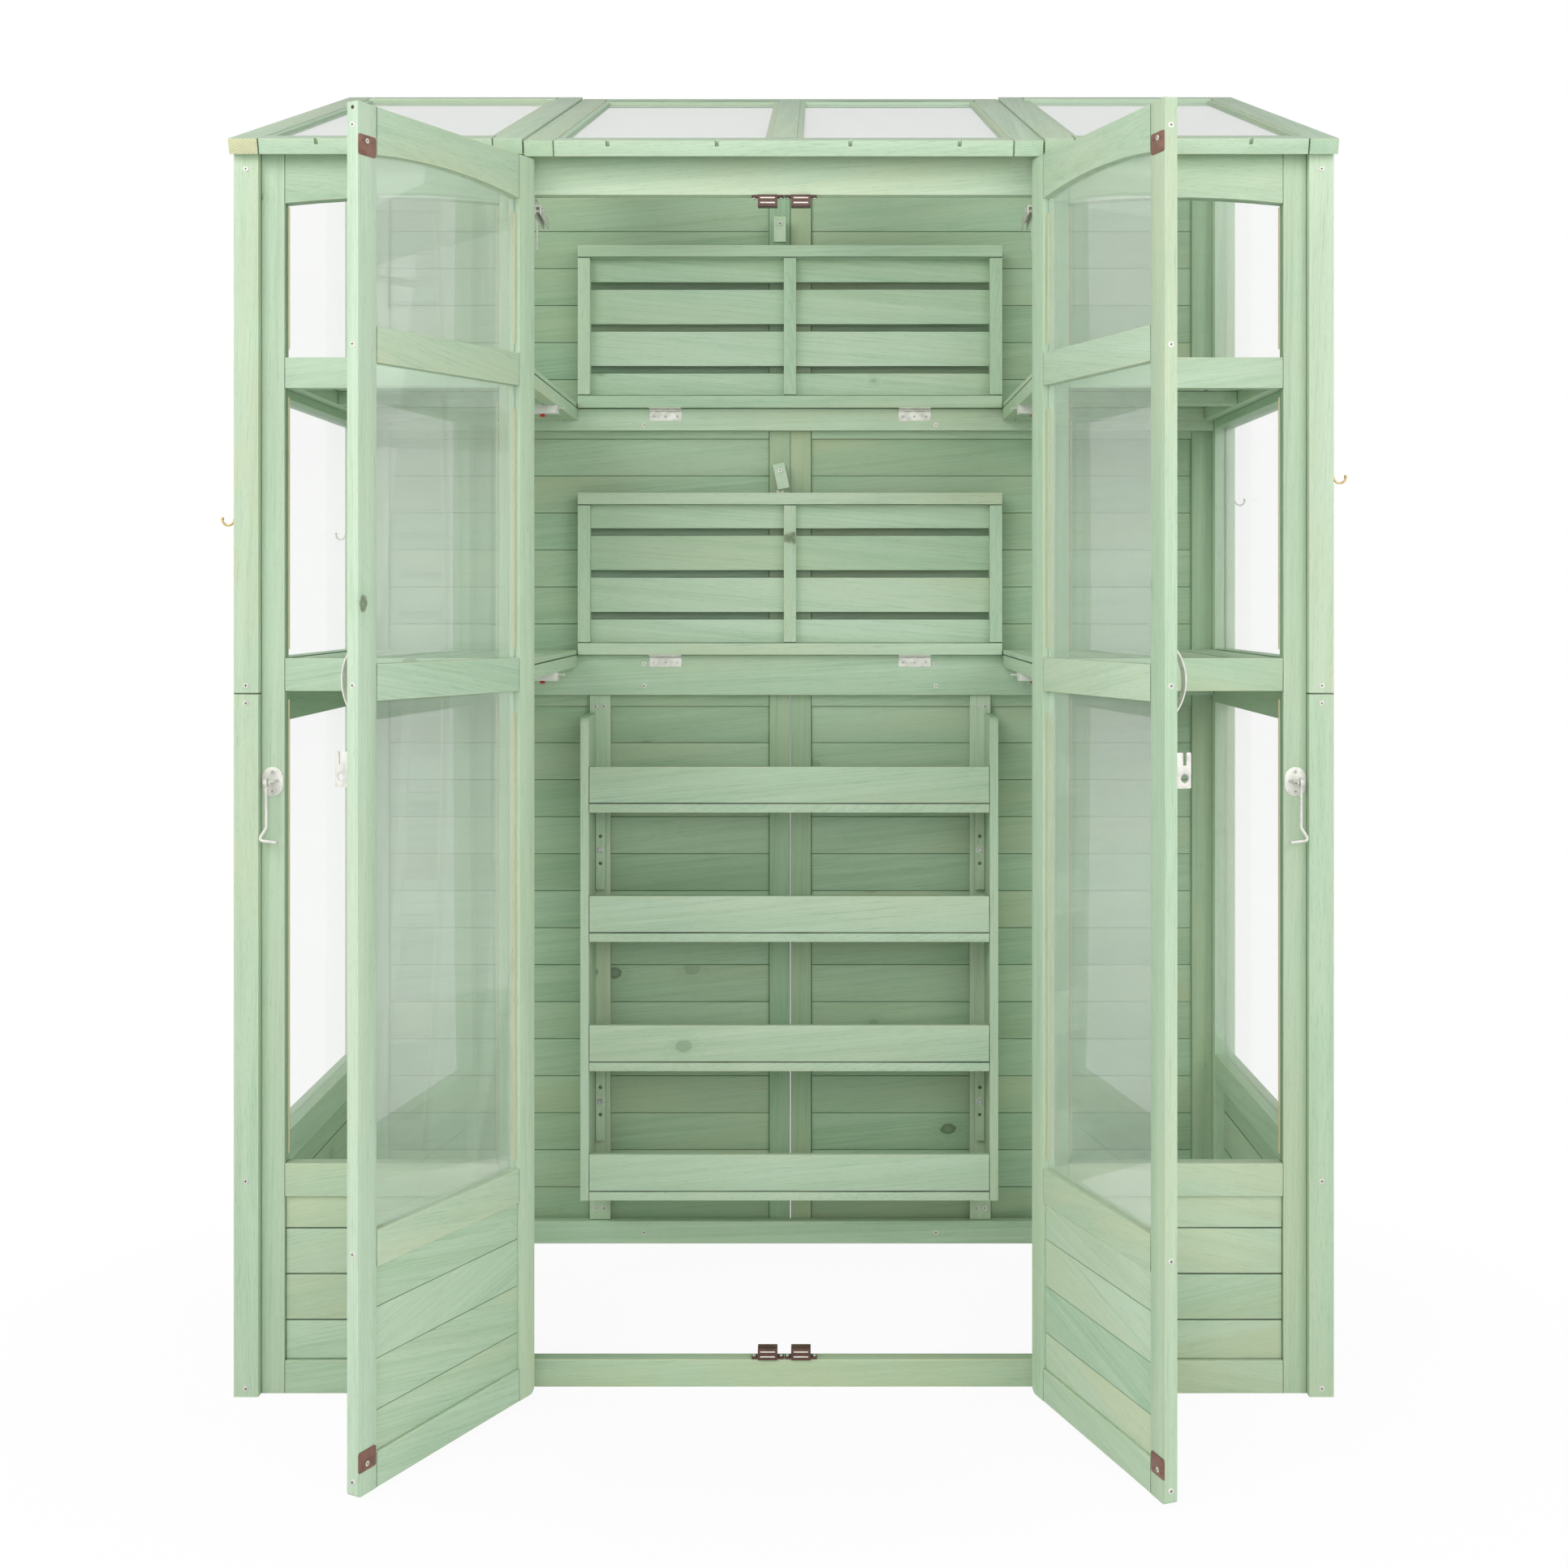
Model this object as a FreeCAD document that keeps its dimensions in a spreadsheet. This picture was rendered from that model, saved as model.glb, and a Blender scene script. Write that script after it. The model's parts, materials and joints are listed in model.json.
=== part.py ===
import FreeCAD, Part
import math
import os
import re

# Wooden mini greenhouse with a lean-to roof, double doors, fold-down shelves
# and a hanging rack. Millimetres, +Z up, front towards -Y.
# Lengths from front to back are counted from the front line of the side walls.
# Each piece is then set so that the origin lies under the middle of the threshold.

doc = FreeCAD.newDocument("mini_greenhouse")
sheet = doc.addObject("Spreadsheet::Sheet", "sizes")

# Driving dimensions

DRIVING = {
    # carcass
    "body_width": 1500,
    "body_depth": 670,
    "side_thick": 34,
    "side_stile": 45,
    "rail_tall": 45,
    "split_height": 959,
    "side_sill_low": 276,
    "side_mid_low": 1376,
    "side_mid_tall": 44,
    "pane_thick": 3,
    # fixed front panels
    "front_setback": 13,
    "panel_thick": 22,
    "front_stile": 32,
    "opening_half": 358,
    "front_sill_low": 270,
    "front_low_mid": 962,
    "front_up_mid": 1377,
    "front_up_mid_tall": 42,
    "arch_foot": 1630,
    "front_arch_rise": 8,
    "head_gap": 1,
    # boards
    "board_pitch": 62.9,
    "board_thick": 12,
    "board_recess": 6,
    "apron_first_joint": 99.2,
    # back wall
    "back_stile": 35,
    "back_gap": 1.5,
    "back_foot": 26,
    "back_low_boards": 880.6,
    "back_low_rail": 76,
    "back_mid_boards": 377.4,
    "back_up_rail": 38,
    "back_top_boards": 440.3,
    "cleat_thick": 18,
    "foot_rail_tall": 38,
    "low_cleat_top": 994.4,
    "low_cleat_tall": 68.5,
    "up_cleat_top": 1409.5,
    "up_cleat_tall": 37,
    # header and threshold
    "header_low": 1646,
    "header_clear": 2,
    "threshold_tall": 38,
    # roof
    "roof_angle": 18.77,
    "roof_front_top": 1711,
    "roof_front_over": 20,
    "roof_back_over": 2,
    "roof_rail_thick": 21,
    "roof_rail_wide": 40,
    "roof_side_over": 2,
    "vent_half": 352,
    "vent_side_gap": 2,
    "vent_drop": 3,
    "vent_bar": 34,
    "roof_pane_deep": 6,
    "vent_hinge_inset": 1,
    "vent_leaf_tall": 12,
    "notch_wide": 5,
    "notch_deep": 8,
    "notch_long": 12,
    "vent_notch_apart": 148,
    "side_notch_apart": 160,
    # doors
    "door_gap": 2,
    "door_meet": 1.5,
    "door_thick": 17,
    "door_foot": 7,
    "door_head": 1687,
    "door_stile": 33,
    "door_bottom_tall": 43,
    "door_sill_low": 275,
    "door_low_mid": 964,
    "door_up_mid": 1376,
    "door_up_mid_tall": 44,
    "door_arch_foot": 1628,
    "door_arch_rise": 10,
    "door_corner": 10,
    "door_board_thick": 9,
    "left_open": 118,
    "right_open": 110,
    "door_hinge_long": 60,
    "door_hinge_low": 200,
    "door_hinge_mid": 840,
    "door_hinge_high": 1490,
    # hinges
    "barrel_radius": 3,
    "pin_radius": 1.4,
    "pin_clear": 0.06,
    "barrel_gap": 0.3,
    "leaf_thick": 0.9,
    "door_leaf_wide": 16,
    # handle, hasp and strike plates
    "handle_height": 989.5,
    "handle_chord": 90,
    "handle_rise": 20,
    "handle_strap": 2,
    "handle_wide": 10,
    "handle_inset": 16.5,
    "handle_foot": 14,
    "hasp_low": 861,
    "hasp_tall": 43,
    "hasp_out": 19,
    "hasp_leg": 26,
    "hasp_thick": 2,
    "hasp_hole_radius": 5,
    "hasp_hole_up": 12,
    "hasp_slot_wide": 5,
    "hasp_slot_deep": 15.5,
    "strike_wide": 31.5,
    "strike_tall": 25,
    "strike_thick": 1,
    "strike_top_low": 1623,
    "strike_foot_low": 36,
    "catch_wide": 27,
    "catch_ear": 44,
    "catch_tall": 16,
    "catch_ear_thick": 2.5,
    "catch_apart": 46,
    "catch_clear": 0.5,
    # side shelves and flaps
    "shelf_frame": 20.5,
    "shelf_slat": 8,
    "shelf_bar": 33,
    "shelf_bar_back": 275,
    "shelf_slat_gap": 1.5,
    "shelf_slat_count": 5,
    "flap_gap": 2,
    "flap_tall": 272,
    "flap_rail": 20.5,
    "flap_slat": 60,
    "flap_slat_count": 4,
    "flap_knuckle": 2.6,
    "flap_leaf": 1.4,
    "flap_leaf_long": 54,
    "flap_leaf_tall": 18,
    "flap_hinge_at": 210,
    "tab_wide": 13,
    "tab_up": 5.5,
    "tab_thick": 1.5,
    "tab_grip": 10,
    "tab_hole": 2.6,
    # turn buttons
    "button_at": -17,
    "button_wide": 20,
    "button_thick": 13,
    "button_up": 12,
    "button_down": 31,
    "button_clear": 1,
    "low_button_tilt": 12,
    "button_screw": 2,
    "button_bore_clear": 0.08,
    "button_head": 4.2,
    "button_head_tall": 1.4,
    "button_slack": 0.3,
    "packer_half": 9,
    # sliding bolts
    "bolt_along": 22,
    "bolt_long": 50,
    "bolt_wide": 24,
    "bolt_tall": 13,
    "bolt_pin": 2.2,
    "bolt_pin_clear": 0.1,
    "bolt_under": 1.6,
    "least_board": 1,
    "bolt_reach": 11,
    "bolt_tail": 6,
    "bolt_knob": 3.5,
    "bolt_knob_drop": 5,
    "bolt_knob_at": 24,
    "bolt_travel": 12,
    # hanging rack
    "rack_half": 342,
    "rack_side": 13.5,
    "rack_deep": 106,
    "rack_foot": 103,
    "rack_top": 895,
    "rack_nose": 12,
    "rack_board": 15,
    "rack_lip_tall": 60,
    "rack_lip_thick": 12,
    "rack_pitch": 211.7,
    "rack_shelf_count": 4,
    "strip_thick": 10,
    "strip_wide": 36,
    "strip_inset": 2,
    "batten_wide": 17,
    "batten_thick": 12,
    "batten_tall": 140,
    "batten_hole": 2.9,
    "batten_hole_step": 23,
    "batten_bolt_drop": 73,
    "rack_bolt": 2.5,
    "rack_bolt_head": 5,
    "rack_bolt_head_tall": 3.5,
    # cabin hooks
    "eye_inset": 16,
    "eye_height": 838,
    "eye_plate_tall": 40,
    "eye_plate_wide": 29,
    "eye_plate_thick": 1.6,
    "eye_ear_out": 16,
    "eye_pin": 1.9,
    "eye_pin_long": 7,
    "eye_pin_head": 3.6,
    "hook_wire": 2.3,
    "hook_loop": 4.6,
    "hook_long": 57,
    "hook_kick": 11,
    "hook_kick_drop": 17,
    "hook_tip": 25,
    "hook_tip_drop": 3,
    # cup hooks
    "cup_wire": 1.5,
    "cup_out": 13,
    "cup_radius": 8,
    "cup_flange": 5,
    "cup_flange_thick": 1.2,
    "cup_left_height": 1197,
    "cup_right_height": 1255,
    "cup_front_inset": 20,
    "cup_back_inset": 22,
    "cup_tip_rise": 1,
    # prop stays
    "stay_at": 341,
    "stay_pivot_y": 47,
    "stay_pivot_z": 1626,
    "stay_long": 78,
    "stay_tall": 12,
    "stay_wide": 9,
    "stay_wall": 1.6,
    "stay_tilt": 4,
    "stay_pin": 2,
    "stay_drop": 50,
    # screws
    "screw_head": 3.6,
    "screw_proud": 0.7,
    "small_head": 2.6,
}

# Sizes that follow from the driving ones, as sheet formulas

DERIVED = {
    "origin_y": "front_setback + panel_thick * 3 / 2",
    "half_width": "body_width / 2",
    "inner_half": "half_width - side_thick",
    "roof_tan": "tan(roof_angle)",
    "under_front": "roof_front_top + roof_front_over * roof_tan - roof_rail_thick / cos(roof_angle)",
    "rear_stile_y": "body_depth - side_stile",
    "front_back_y": "front_setback + panel_thick",
    "front_top": "under_front + front_setback * roof_tan - head_gap",
    "back_face_y": "body_depth - panel_thick",
    "cleat_face_y": "back_face_y - cleat_thick",
    "vent_sink": "vent_drop / cos(roof_angle)",
    "back_top": "under_front + back_face_y * roof_tan - vent_sink - head_gap",
    "header_top": "under_front + front_back_y * roof_tan - vent_sink - header_clear",
    "roof_reach": "body_depth + roof_back_over + roof_front_over",
    "roof_long": "(roof_reach - roof_rail_thick * sin(roof_angle)) / cos(roof_angle)",
    "roof_half": "half_width + roof_side_over",
    "back_low_field": "back_foot + back_low_boards",
    "back_mid_field": "back_low_field + back_low_rail",
    "back_mid_top": "back_mid_field + back_mid_boards",
    "back_top_field": "back_mid_top + back_up_rail",
    "back_top_rail": "back_top_field + back_top_boards",
    "door_wide": "opening_half - door_gap - door_meet",
    "pivot_x": "opening_half - door_gap / 2",
    "pivot_y": "front_setback - barrel_radius",
    "door_face": "barrel_radius",
    "door_back": "barrel_radius + door_thick",
    "door_edge": "door_gap / 2",
    "door_end": "door_edge + door_wide",
    "flap_half": "opening_half - flap_gap",
    "flap_drop": "flap_knuckle + 0.4",
    "flap_pivot_y": "cleat_face_y - flap_drop",
    "flap_slat_back": "flap_pivot_y + flap_drop + shelf_slat",
    "flap_slat_front": "flap_slat_back - shelf_slat",
    "flap_face": "flap_slat_front - shelf_frame",
    "flap_slat_gap": "(flap_tall - flap_slat_count * flap_slat) / (flap_slat_count - 1)",
    "strip_face_y": "back_face_y - strip_thick",
    "batten_face_y": "strip_face_y - batten_thick",
    "rack_inner": "rack_half - rack_side",
    "button_face_y": "flap_face + 6",
    "button_back_y": "button_face_y + button_thick",
    "packer_face_y": "button_back_y + button_slack",
    "catch_face_y": "front_setback + door_thick + strike_thick + catch_clear",
    "vent_low": "roof_rail_thick + vent_drop",
    "vent_hinge_up": "roof_long - vent_hinge_inset",
    "vent_hinge_low": "vent_low + barrel_radius + barrel_gap",
    "vent_reach_y": "vent_hinge_up * cos(roof_angle) + vent_hinge_low * sin(roof_angle)",
    "vent_reach_z": "vent_hinge_up * sin(roof_angle) - vent_hinge_low * cos(roof_angle)",
    "vent_pivot_y": "vent_reach_y - roof_front_over",
    "vent_pivot_z": "vent_reach_z + roof_front_top",
    "bolt_centre_drop": "shelf_frame + bolt_pin + bolt_under",
    "cup_front_at": "cup_front_inset",
    "cup_back_at": "body_depth - cup_back_inset",
    "eye_at": "inner_half - eye_inset",
    "shelf_bar_at": "cleat_face_y - shelf_bar_back",
    "bolt_at": "shelf_bar_at + bolt_along",
    "rack_front": "strip_face_y - rack_deep",
}


def fill_sheet():
    row = 1
    for name, number in DRIVING.items():
        sheet.set("A%d" % row, name)
        sheet.set("B%d" % row, str(number))
        sheet.setAlias("B%d" % row, name)
        row += 1
    for name, formula in DERIVED.items():
        sheet.set("A%d" % row, name)
        sheet.set("B%d" % row, "=" + formula)
        sheet.setAlias("B%d" % row, name)
        row += 1
    doc.recompute()


fill_sheet()

WORDS = set(DRIVING) | set(DERIVED)


def bind(text):
    """A formula of size names, written so that it reads the sheet."""
    return re.sub(r"[a-z_][a-z0-9_]*", lambda word: "sizes." + word.group(0)
                  if word.group(0) in WORDS else word.group(0), str(text))


def number(text):
    """The present value of a formula of size names."""
    known = {word: float(sheet.get(word)) for word in re.findall(r"[a-z_][a-z0-9_]*", str(text))
             if word in WORDS}
    total = str(text)
    for word in sorted(known, key=len, reverse=True):
        total = re.sub(r"\b%s\b" % word, "(%r)" % known[word], total)
    return float(FreeCAD.Units.parseQuantity(total).Value)


# Small builders

nodes = {}
UP = FreeCAD.Vector(0, 0, 1)
TURNS = {
    "+z": FreeCAD.Rotation(UP, 0),
    "-z": FreeCAD.Rotation(FreeCAD.Vector(1, 0, 0), 180),
    "-y": FreeCAD.Rotation(FreeCAD.Vector(1, 0, 0), 90),
    "+y": FreeCAD.Rotation(FreeCAD.Vector(1, 0, 0), -90),
    "+x": FreeCAD.Rotation(FreeCAD.Vector(0, 1, 0), 90),
    "-x": FreeCAD.Rotation(FreeCAD.Vector(0, 1, 0), -90),
}


def place(shape, x, y, z):
    shape.setExpression("Placement.Base.x", bind(x))
    shape.setExpression("Placement.Base.y", bind(y))
    shape.setExpression("Placement.Base.z", bind(z))


def stick(name, x, y, z):
    """A square-cut piece between two limits on each axis."""
    box = doc.addObject("Part::Box", name)
    for side, limits in zip(("Length", "Width", "Height"), (x, y, z)):
        box.setExpression(side, bind("(%s) - (%s)" % (limits[1], limits[0])))
    place(box, x[0], y[0], z[0])
    return box


def sloped(name, x, y, low, top):
    """A piece whose low and top faces may slope from front to back."""
    wedge = doc.addObject("Part::Wedge", name)
    limits = {
        "Xmin": x[0], "X2min": x[0], "Xmax": x[1], "X2max": x[1], "Ymin": y[0], "Ymax": y[1],
        "Zmin": low[0], "Z2min": low[1], "Zmax": top[0], "Z2max": top[1],
    }
    for prop, limit in limits.items():
        wedge.setExpression(prop, bind(limit))
    return wedge


def disc(name, at, turn, radius, tall):
    """A round piece that starts at a point and runs along one direction."""
    round_bar = doc.addObject("Part::Cylinder", name)
    round_bar.setExpression("Radius", bind(radius))
    round_bar.setExpression("Height", bind(tall))
    round_bar.Placement = FreeCAD.Placement(FreeCAD.Vector(0, 0, 0), TURNS[turn])
    place(round_bar, *at)
    return round_bar


def cut(name, base, tool):
    result = doc.addObject("Part::Cut", name)
    result.Base = base
    result.Tool = tool
    return result


def common(name, base, tool):
    result = doc.addObject("Part::Common", name)
    result.Base = base
    result.Tool = tool
    return result


def fuse(name, shapes):
    result = doc.addObject("Part::MultiFuse", name)
    result.Shapes = shapes
    result.Refine = True
    return result


def settle(item, x, y, z):
    """Places a finished node, with the origin moved under the threshold."""
    place(item, x, "%s - origin_y" % y, z)


def group(label, shapes):
    """One exported node that holds separate solids."""
    compound = doc.addObject("Part::Compound", label)
    compound.Links = shapes
    compound.Label = label
    settle(compound, "0", "0", "0")
    nodes[label] = compound
    return compound


def solid_node(label, shape):
    """One exported node made from a drawn shape."""
    feature = doc.addObject("Part::Feature", label)
    feature.Shape = shape
    feature.Placement = FreeCAD.Placement()
    feature.Label = label
    settle(feature, "0", "0", "0")
    nodes[label] = feature


def across(side, near, far):
    """Limits along X on the left (-1) or right (+1) half."""
    if side > 0:
        return (near, far)
    return ("-(%s)" % far, "-(%s)" % near)


def at_side(side, distance):
    return distance if side > 0 else "-(%s)" % distance


def roof_under(y):
    """Height of the underside of the fixed roof at a depth."""
    return "under_front + (%s) * roof_tan" % y


SIDES = {"left": -1, "right": 1}


# Shared shapes

def arched_rail(name, x, y, foot, rise, top):
    """A head rail whose lower edge is an arc."""
    block = stick(name + "_block", x, y, (foot, top))
    return cut(name, block, arch_drum(name + "_drum", x, y, foot, rise))


def arch_drum(name, x, y, foot, rise):
    chord = "((%s) - (%s))" % (x[1], x[0])
    radius = "(%s * %s / 4 + %s * %s) / (2 * %s)" % (chord, chord, rise, rise, rise)
    middle = "((%s) + (%s)) / 2" % (x[0], x[1])
    centre = "%s + %s - %s" % (foot, rise, radius)
    return disc(name, (middle, y[0], centre), "+y", radius, "(%s) - (%s)" % (y[1], y[0]))


def arched_pane(name, x, y, low, foot, rise):
    block = stick(name + "_block", x, y, (low, "%s + 2 * %s" % (foot, rise)))
    return common(name, block, arch_drum(name + "_drum", x, y, foot, rise))


def board_field(name, x, y, low, high, first_joint):
    """Boards one above the other between two heights, joints at the board pitch."""
    joints = [low]
    joint = "%s" % first_joint
    count = 0
    while number(joint) < number(high) - number("least_board"):
        if number(joint) > number(low) + number("least_board"):
            joints.append(joint)
        count += 1
        joint = "%s + %d * board_pitch" % (first_joint, count)
    joints.append(high)
    boards = []
    for index in range(len(joints) - 1):
        limits = (joints[index], joints[index + 1])
        boards.append(stick("%s_%d" % (name, index), x, y, limits))
    return boards


def barrels(name, axis, at, start, long, radius, own):
    """The knuckles of one hinge leaf: five places, the own ones filled."""
    pieces = []
    for place_no in own:
        step = "(%s) / 5" % long
        low = "(%s) + %d * %s + barrel_gap / 2" % (start, place_no, step)
        tall = "%s - barrel_gap" % step
        centre = (low, at[0], at[1]) if axis == "+x" else (at[0], at[1], low)
        pieces.append(disc("%s_%d" % (name, place_no), centre, axis, radius, tall))
    return pieces


def hinge_half(name, axis, at, start, long, radius, own, plate, tab):
    """A leaf with its knuckles. The half that owns the ends also holds the pin."""
    parts = barrels(name + "_knuckle", axis, at, start, long, radius, own)
    ends = 0 in own
    if not ends:
        bore_at = (start, at[0], at[1]) if axis == "+x" else (at[0], at[1], start)
        bored = []
        for index, part in enumerate(parts):
            bore = disc("%s_bore_%d" % (name, index), bore_at, axis, "pin_radius + pin_clear", long)
            bored.append(cut("%s_bored_%d" % (name, index), part, bore))
        parts = bored
    along = (start, "(%s) + (%s)" % (start, long))
    if axis == "+x":
        leaf = stick(name + "_plate", along, plate[0], plate[1])
    else:
        leaf = stick(name + "_plate", plate[0], plate[1], along)
    tabs = []
    for place_no in own:
        step = "(%s) / 5" % long
        run = ("(%s) + %d * %s + barrel_gap / 2" % (start, place_no, step),
               "(%s) + %d * %s - barrel_gap / 2" % (start, place_no + 1, step))
        tab_name = "%s_tab_%d" % (name, place_no)
        if axis == "+x":
            tabs.append(stick(tab_name, run, tab[0], tab[1]))
        else:
            tabs.append(stick(tab_name, tab[0], tab[1], run))
    if not ends:
        trimmed = []
        for index, one_tab in enumerate(tabs):
            bore_at = (start, at[0], at[1]) if axis == "+x" else (at[0], at[1], start)
            bore = disc("%s_tab_bore_%d" % (name, index), bore_at, axis,
                        "pin_radius + pin_clear", long)
            trimmed.append(cut("%s_tab_cut_%d" % (name, index), one_tab, bore))
        tabs = trimmed
    pin = []
    if ends:
        pin_at = (start, at[0], at[1]) if axis == "+x" else (at[0], at[1], start)
        pin = [disc(name + "_pin", pin_at, axis, "pin_radius", long)]
    return fuse(name, parts + [leaf] + tabs + pin)


def bent_wire(name, points, radius, bend):
    """A round wire along straight runs with arcs at the corners."""
    path = [FreeCAD.Vector(*point) for point in points]
    edges = []
    last = path[0]
    for index in range(1, len(path) - 1):
        corner = path[index]
        back = (path[index - 1] - corner).normalize()
        ahead = (path[index + 1] - corner).normalize()
        half = (math.pi - back.getAngle(ahead)) / 2
        reach = bend * math.tan(half)
        start = corner + back * reach
        end = corner + ahead * reach
        middle = corner + (back + ahead).normalize() * (bend / math.cos(half) - bend)
        edges.append(Part.LineSegment(last, start).toShape())
        edges.append(Part.Arc(start, middle, end).toShape())
        last = end
    edges.append(Part.LineSegment(last, path[-1]).toShape())
    spine = Part.Wire(edges)
    first = (path[1] - path[0]).normalize()
    section = Part.Wire([Part.makeCircle(radius, path[0], first)])
    return spine.makePipeShell([section], True, False)


# Side walls

def side_wall(word, side):
    x = across(side, "inner_half", "half_width")
    front = ("0", "side_stile")
    rear = ("rear_stile_y", "body_depth")
    between = ("side_stile", "rear_stile_y")
    name = "side_%s" % word
    pieces = [
        stick(name + "_low_front_stile", x, front, ("0", "split_height")),
        stick(name + "_low_rear_stile", x, rear, ("0", "split_height")),
        stick(name + "_bottom_rail", x, between, ("0", "rail_tall")),
        stick(name + "_sill", x, between, ("side_sill_low", "side_sill_low + rail_tall")),
        stick(name + "_low_head", x, between, ("split_height - rail_tall", "split_height")),
        stick(name + "_high_foot", x, between, ("split_height", "split_height + rail_tall")),
        stick(name + "_mid_rail", x, between, ("side_mid_low", "side_mid_low + side_mid_tall")),
    ]
    for part, limits in (("front", front), ("rear", rear)):
        pieces.append(sloped("%s_high_%s_stile" % (name, part), x, limits,
                             ("split_height", "split_height"),
                             (roof_under(limits[0]), roof_under(limits[1]))))
    pieces.append(sloped(name + "_head", x, between,
                         (roof_under(between[0]) + " - rail_tall",
                          roof_under(between[1]) + " - rail_tall"),
                         (roof_under(between[0]), roof_under(between[1]))))
    group("side_frame_" + word, pieces)


def side_panes(word, side):
    middle = "half_width - side_thick / 2"
    x = across(side, middle + " - pane_thick / 2", middle + " + pane_thick / 2")
    y = ("side_stile", "rear_stile_y")
    name = "side_%s_pane" % word
    return [
        stick(name + "_low", x, y, ("side_sill_low + rail_tall", "split_height - rail_tall")),
        stick(name + "_mid", x, y, ("split_height + rail_tall", "side_mid_low")),
        sloped(name + "_high", x, y,
               ("side_mid_low + side_mid_tall", "side_mid_low + side_mid_tall"),
               (roof_under(y[0]) + " - rail_tall", roof_under(y[1]) + " - rail_tall")),
    ]


def side_boards(word, side):
    outer = "half_width - board_recess"
    x = across(side, outer + " - board_thick", outer)
    return board_field("side_%s_board" % word, x, ("side_stile", "rear_stile_y"),
                       "rail_tall", "side_sill_low", "apron_first_joint")


# Fixed front panels

FRONT_Y = ("front_setback", "front_back_y")


def front_panel(word, side):
    inner = across(side, "opening_half", "opening_half + front_stile")
    outer = across(side, "inner_half - front_stile", "inner_half")
    between = across(side, "opening_half + front_stile", "inner_half - front_stile")
    name = "front_%s" % word
    pieces = [
        stick(name + "_inner_stile", inner, FRONT_Y, ("0", "front_top")),
        stick(name + "_outer_stile", outer, FRONT_Y, ("0", "front_top")),
        stick(name + "_bottom_rail", between, FRONT_Y, ("0", "rail_tall")),
        stick(name + "_sill", between, FRONT_Y, ("front_sill_low", "front_sill_low + rail_tall")),
        stick(name + "_low_mid", between, FRONT_Y, ("front_low_mid", "front_low_mid + rail_tall")),
        stick(name + "_up_mid", between, FRONT_Y,
              ("front_up_mid", "front_up_mid + front_up_mid_tall")),
        arched_rail(name + "_head", between, FRONT_Y, "arch_foot", "front_arch_rise", "front_top"),
    ]
    group("front_frame_" + word, pieces)


def front_panes(word, side):
    x = across(side, "opening_half + front_stile", "inner_half - front_stile")
    middle = "front_setback + panel_thick / 2"
    y = (middle + " - pane_thick / 2", middle + " + pane_thick / 2")
    name = "front_%s_pane" % word
    return [
        stick(name + "_low", x, y, ("front_sill_low + rail_tall", "front_low_mid")),
        stick(name + "_mid", x, y, ("front_low_mid + rail_tall", "front_up_mid")),
        arched_pane(name + "_high", x, y, "front_up_mid + front_up_mid_tall",
                    "arch_foot", "front_arch_rise"),
    ]


def front_boards(word, side):
    x = across(side, "opening_half + front_stile", "inner_half - front_stile")
    y = ("front_setback + board_recess", "front_setback + board_recess + board_thick")
    return board_field("front_%s_board" % word, x, y, "rail_tall", "front_sill_low",
                       "apron_first_joint")


# Back wall

BACK_Y = ("back_face_y", "body_depth")


def back_wall():
    frames = []
    boards = []
    for word, side in SIDES.items():
        name = "back_%s" % word
        start = "back_gap / 2"
        inner = across(side, start, start + " + back_stile")
        outer = across(side, "inner_half - back_stile", "inner_half")
        between = across(side, start + " + back_stile", "inner_half - back_stile")
        frames += [
            stick(name + "_inner_stile", inner, BACK_Y, ("0", "back_top")),
            stick(name + "_outer_stile", outer, BACK_Y, ("0", "back_top")),
            stick(name + "_bottom_rail", between, BACK_Y, ("0", "back_foot")),
            stick(name + "_low_rail", between, BACK_Y, ("back_low_field", "back_mid_field")),
            stick(name + "_up_rail", between, BACK_Y, ("back_mid_top", "back_top_field")),
            stick(name + "_top_rail", between, BACK_Y, ("back_top_rail", "back_top")),
        ]
        y = ("back_face_y + board_recess", "back_face_y + board_recess + board_thick")
        fields = (("back_foot", "back_low_field"), ("back_mid_field", "back_mid_top"),
                  ("back_top_field", "back_top_rail"))
        for index, (low, high) in enumerate(fields):
            boards += board_field("%s_board_%d" % (name, index), between, y, low, high,
                                  low + " + board_pitch")
    group("back_frames", frames)
    group("back_boards", boards)
    x = ("-inner_half", "inner_half")
    y = ("cleat_face_y", "back_face_y")
    return [
        stick("foot_rail", x, y, ("0", "foot_rail_tall")),
        stick("low_cleat", x, y, ("low_cleat_top - low_cleat_tall", "low_cleat_top")),
        stick("up_cleat", x, y, ("up_cleat_top - up_cleat_tall", "up_cleat_top")),
    ]


# Header, threshold and catches

BEAM_X = ("-(opening_half + front_stile)", "opening_half + front_stile")
BEAM_Y = ("front_back_y", "front_back_y + panel_thick")


def catch(name, middle, low, high, plate):
    half = "catch_wide / 2"
    ear = "catch_ear / 2"
    body_y = ("catch_face_y", "front_back_y + 14")
    body = stick(name + "_body", (middle + " - " + half, middle + " + " + half), body_y,
                 (low, high))
    plate_y = ("front_back_y", "front_back_y + 14")
    ears = stick(name + "_ears", (middle + " - " + ear, middle + " + " + ear), plate_y, plate)
    return fuse(name, [body, ears])


def beams():
    group("header", [stick("header_beam", BEAM_X, BEAM_Y, ("header_low", "header_top"))])
    group("threshold", [stick("threshold_beam", BEAM_X, BEAM_Y, ("0", "threshold_tall"))])
    catches = []
    for word, side in SIDES.items():
        middle = at_side(side, "catch_apart / 2")
        catches.append(catch("catch_top_" + word, middle, "header_low - catch_tall",
                             "header_low", ("header_low - catch_ear_thick", "header_low")))
        catches.append(catch("catch_foot_" + word, middle, "threshold_tall",
                             "threshold_tall + catch_tall",
                             ("threshold_tall", "threshold_tall + catch_ear_thick")))
    group("magnetic_catches", catches)


# Roof, drawn flat and then tilted: y runs up the slope, z = 0 is the top face

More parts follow.
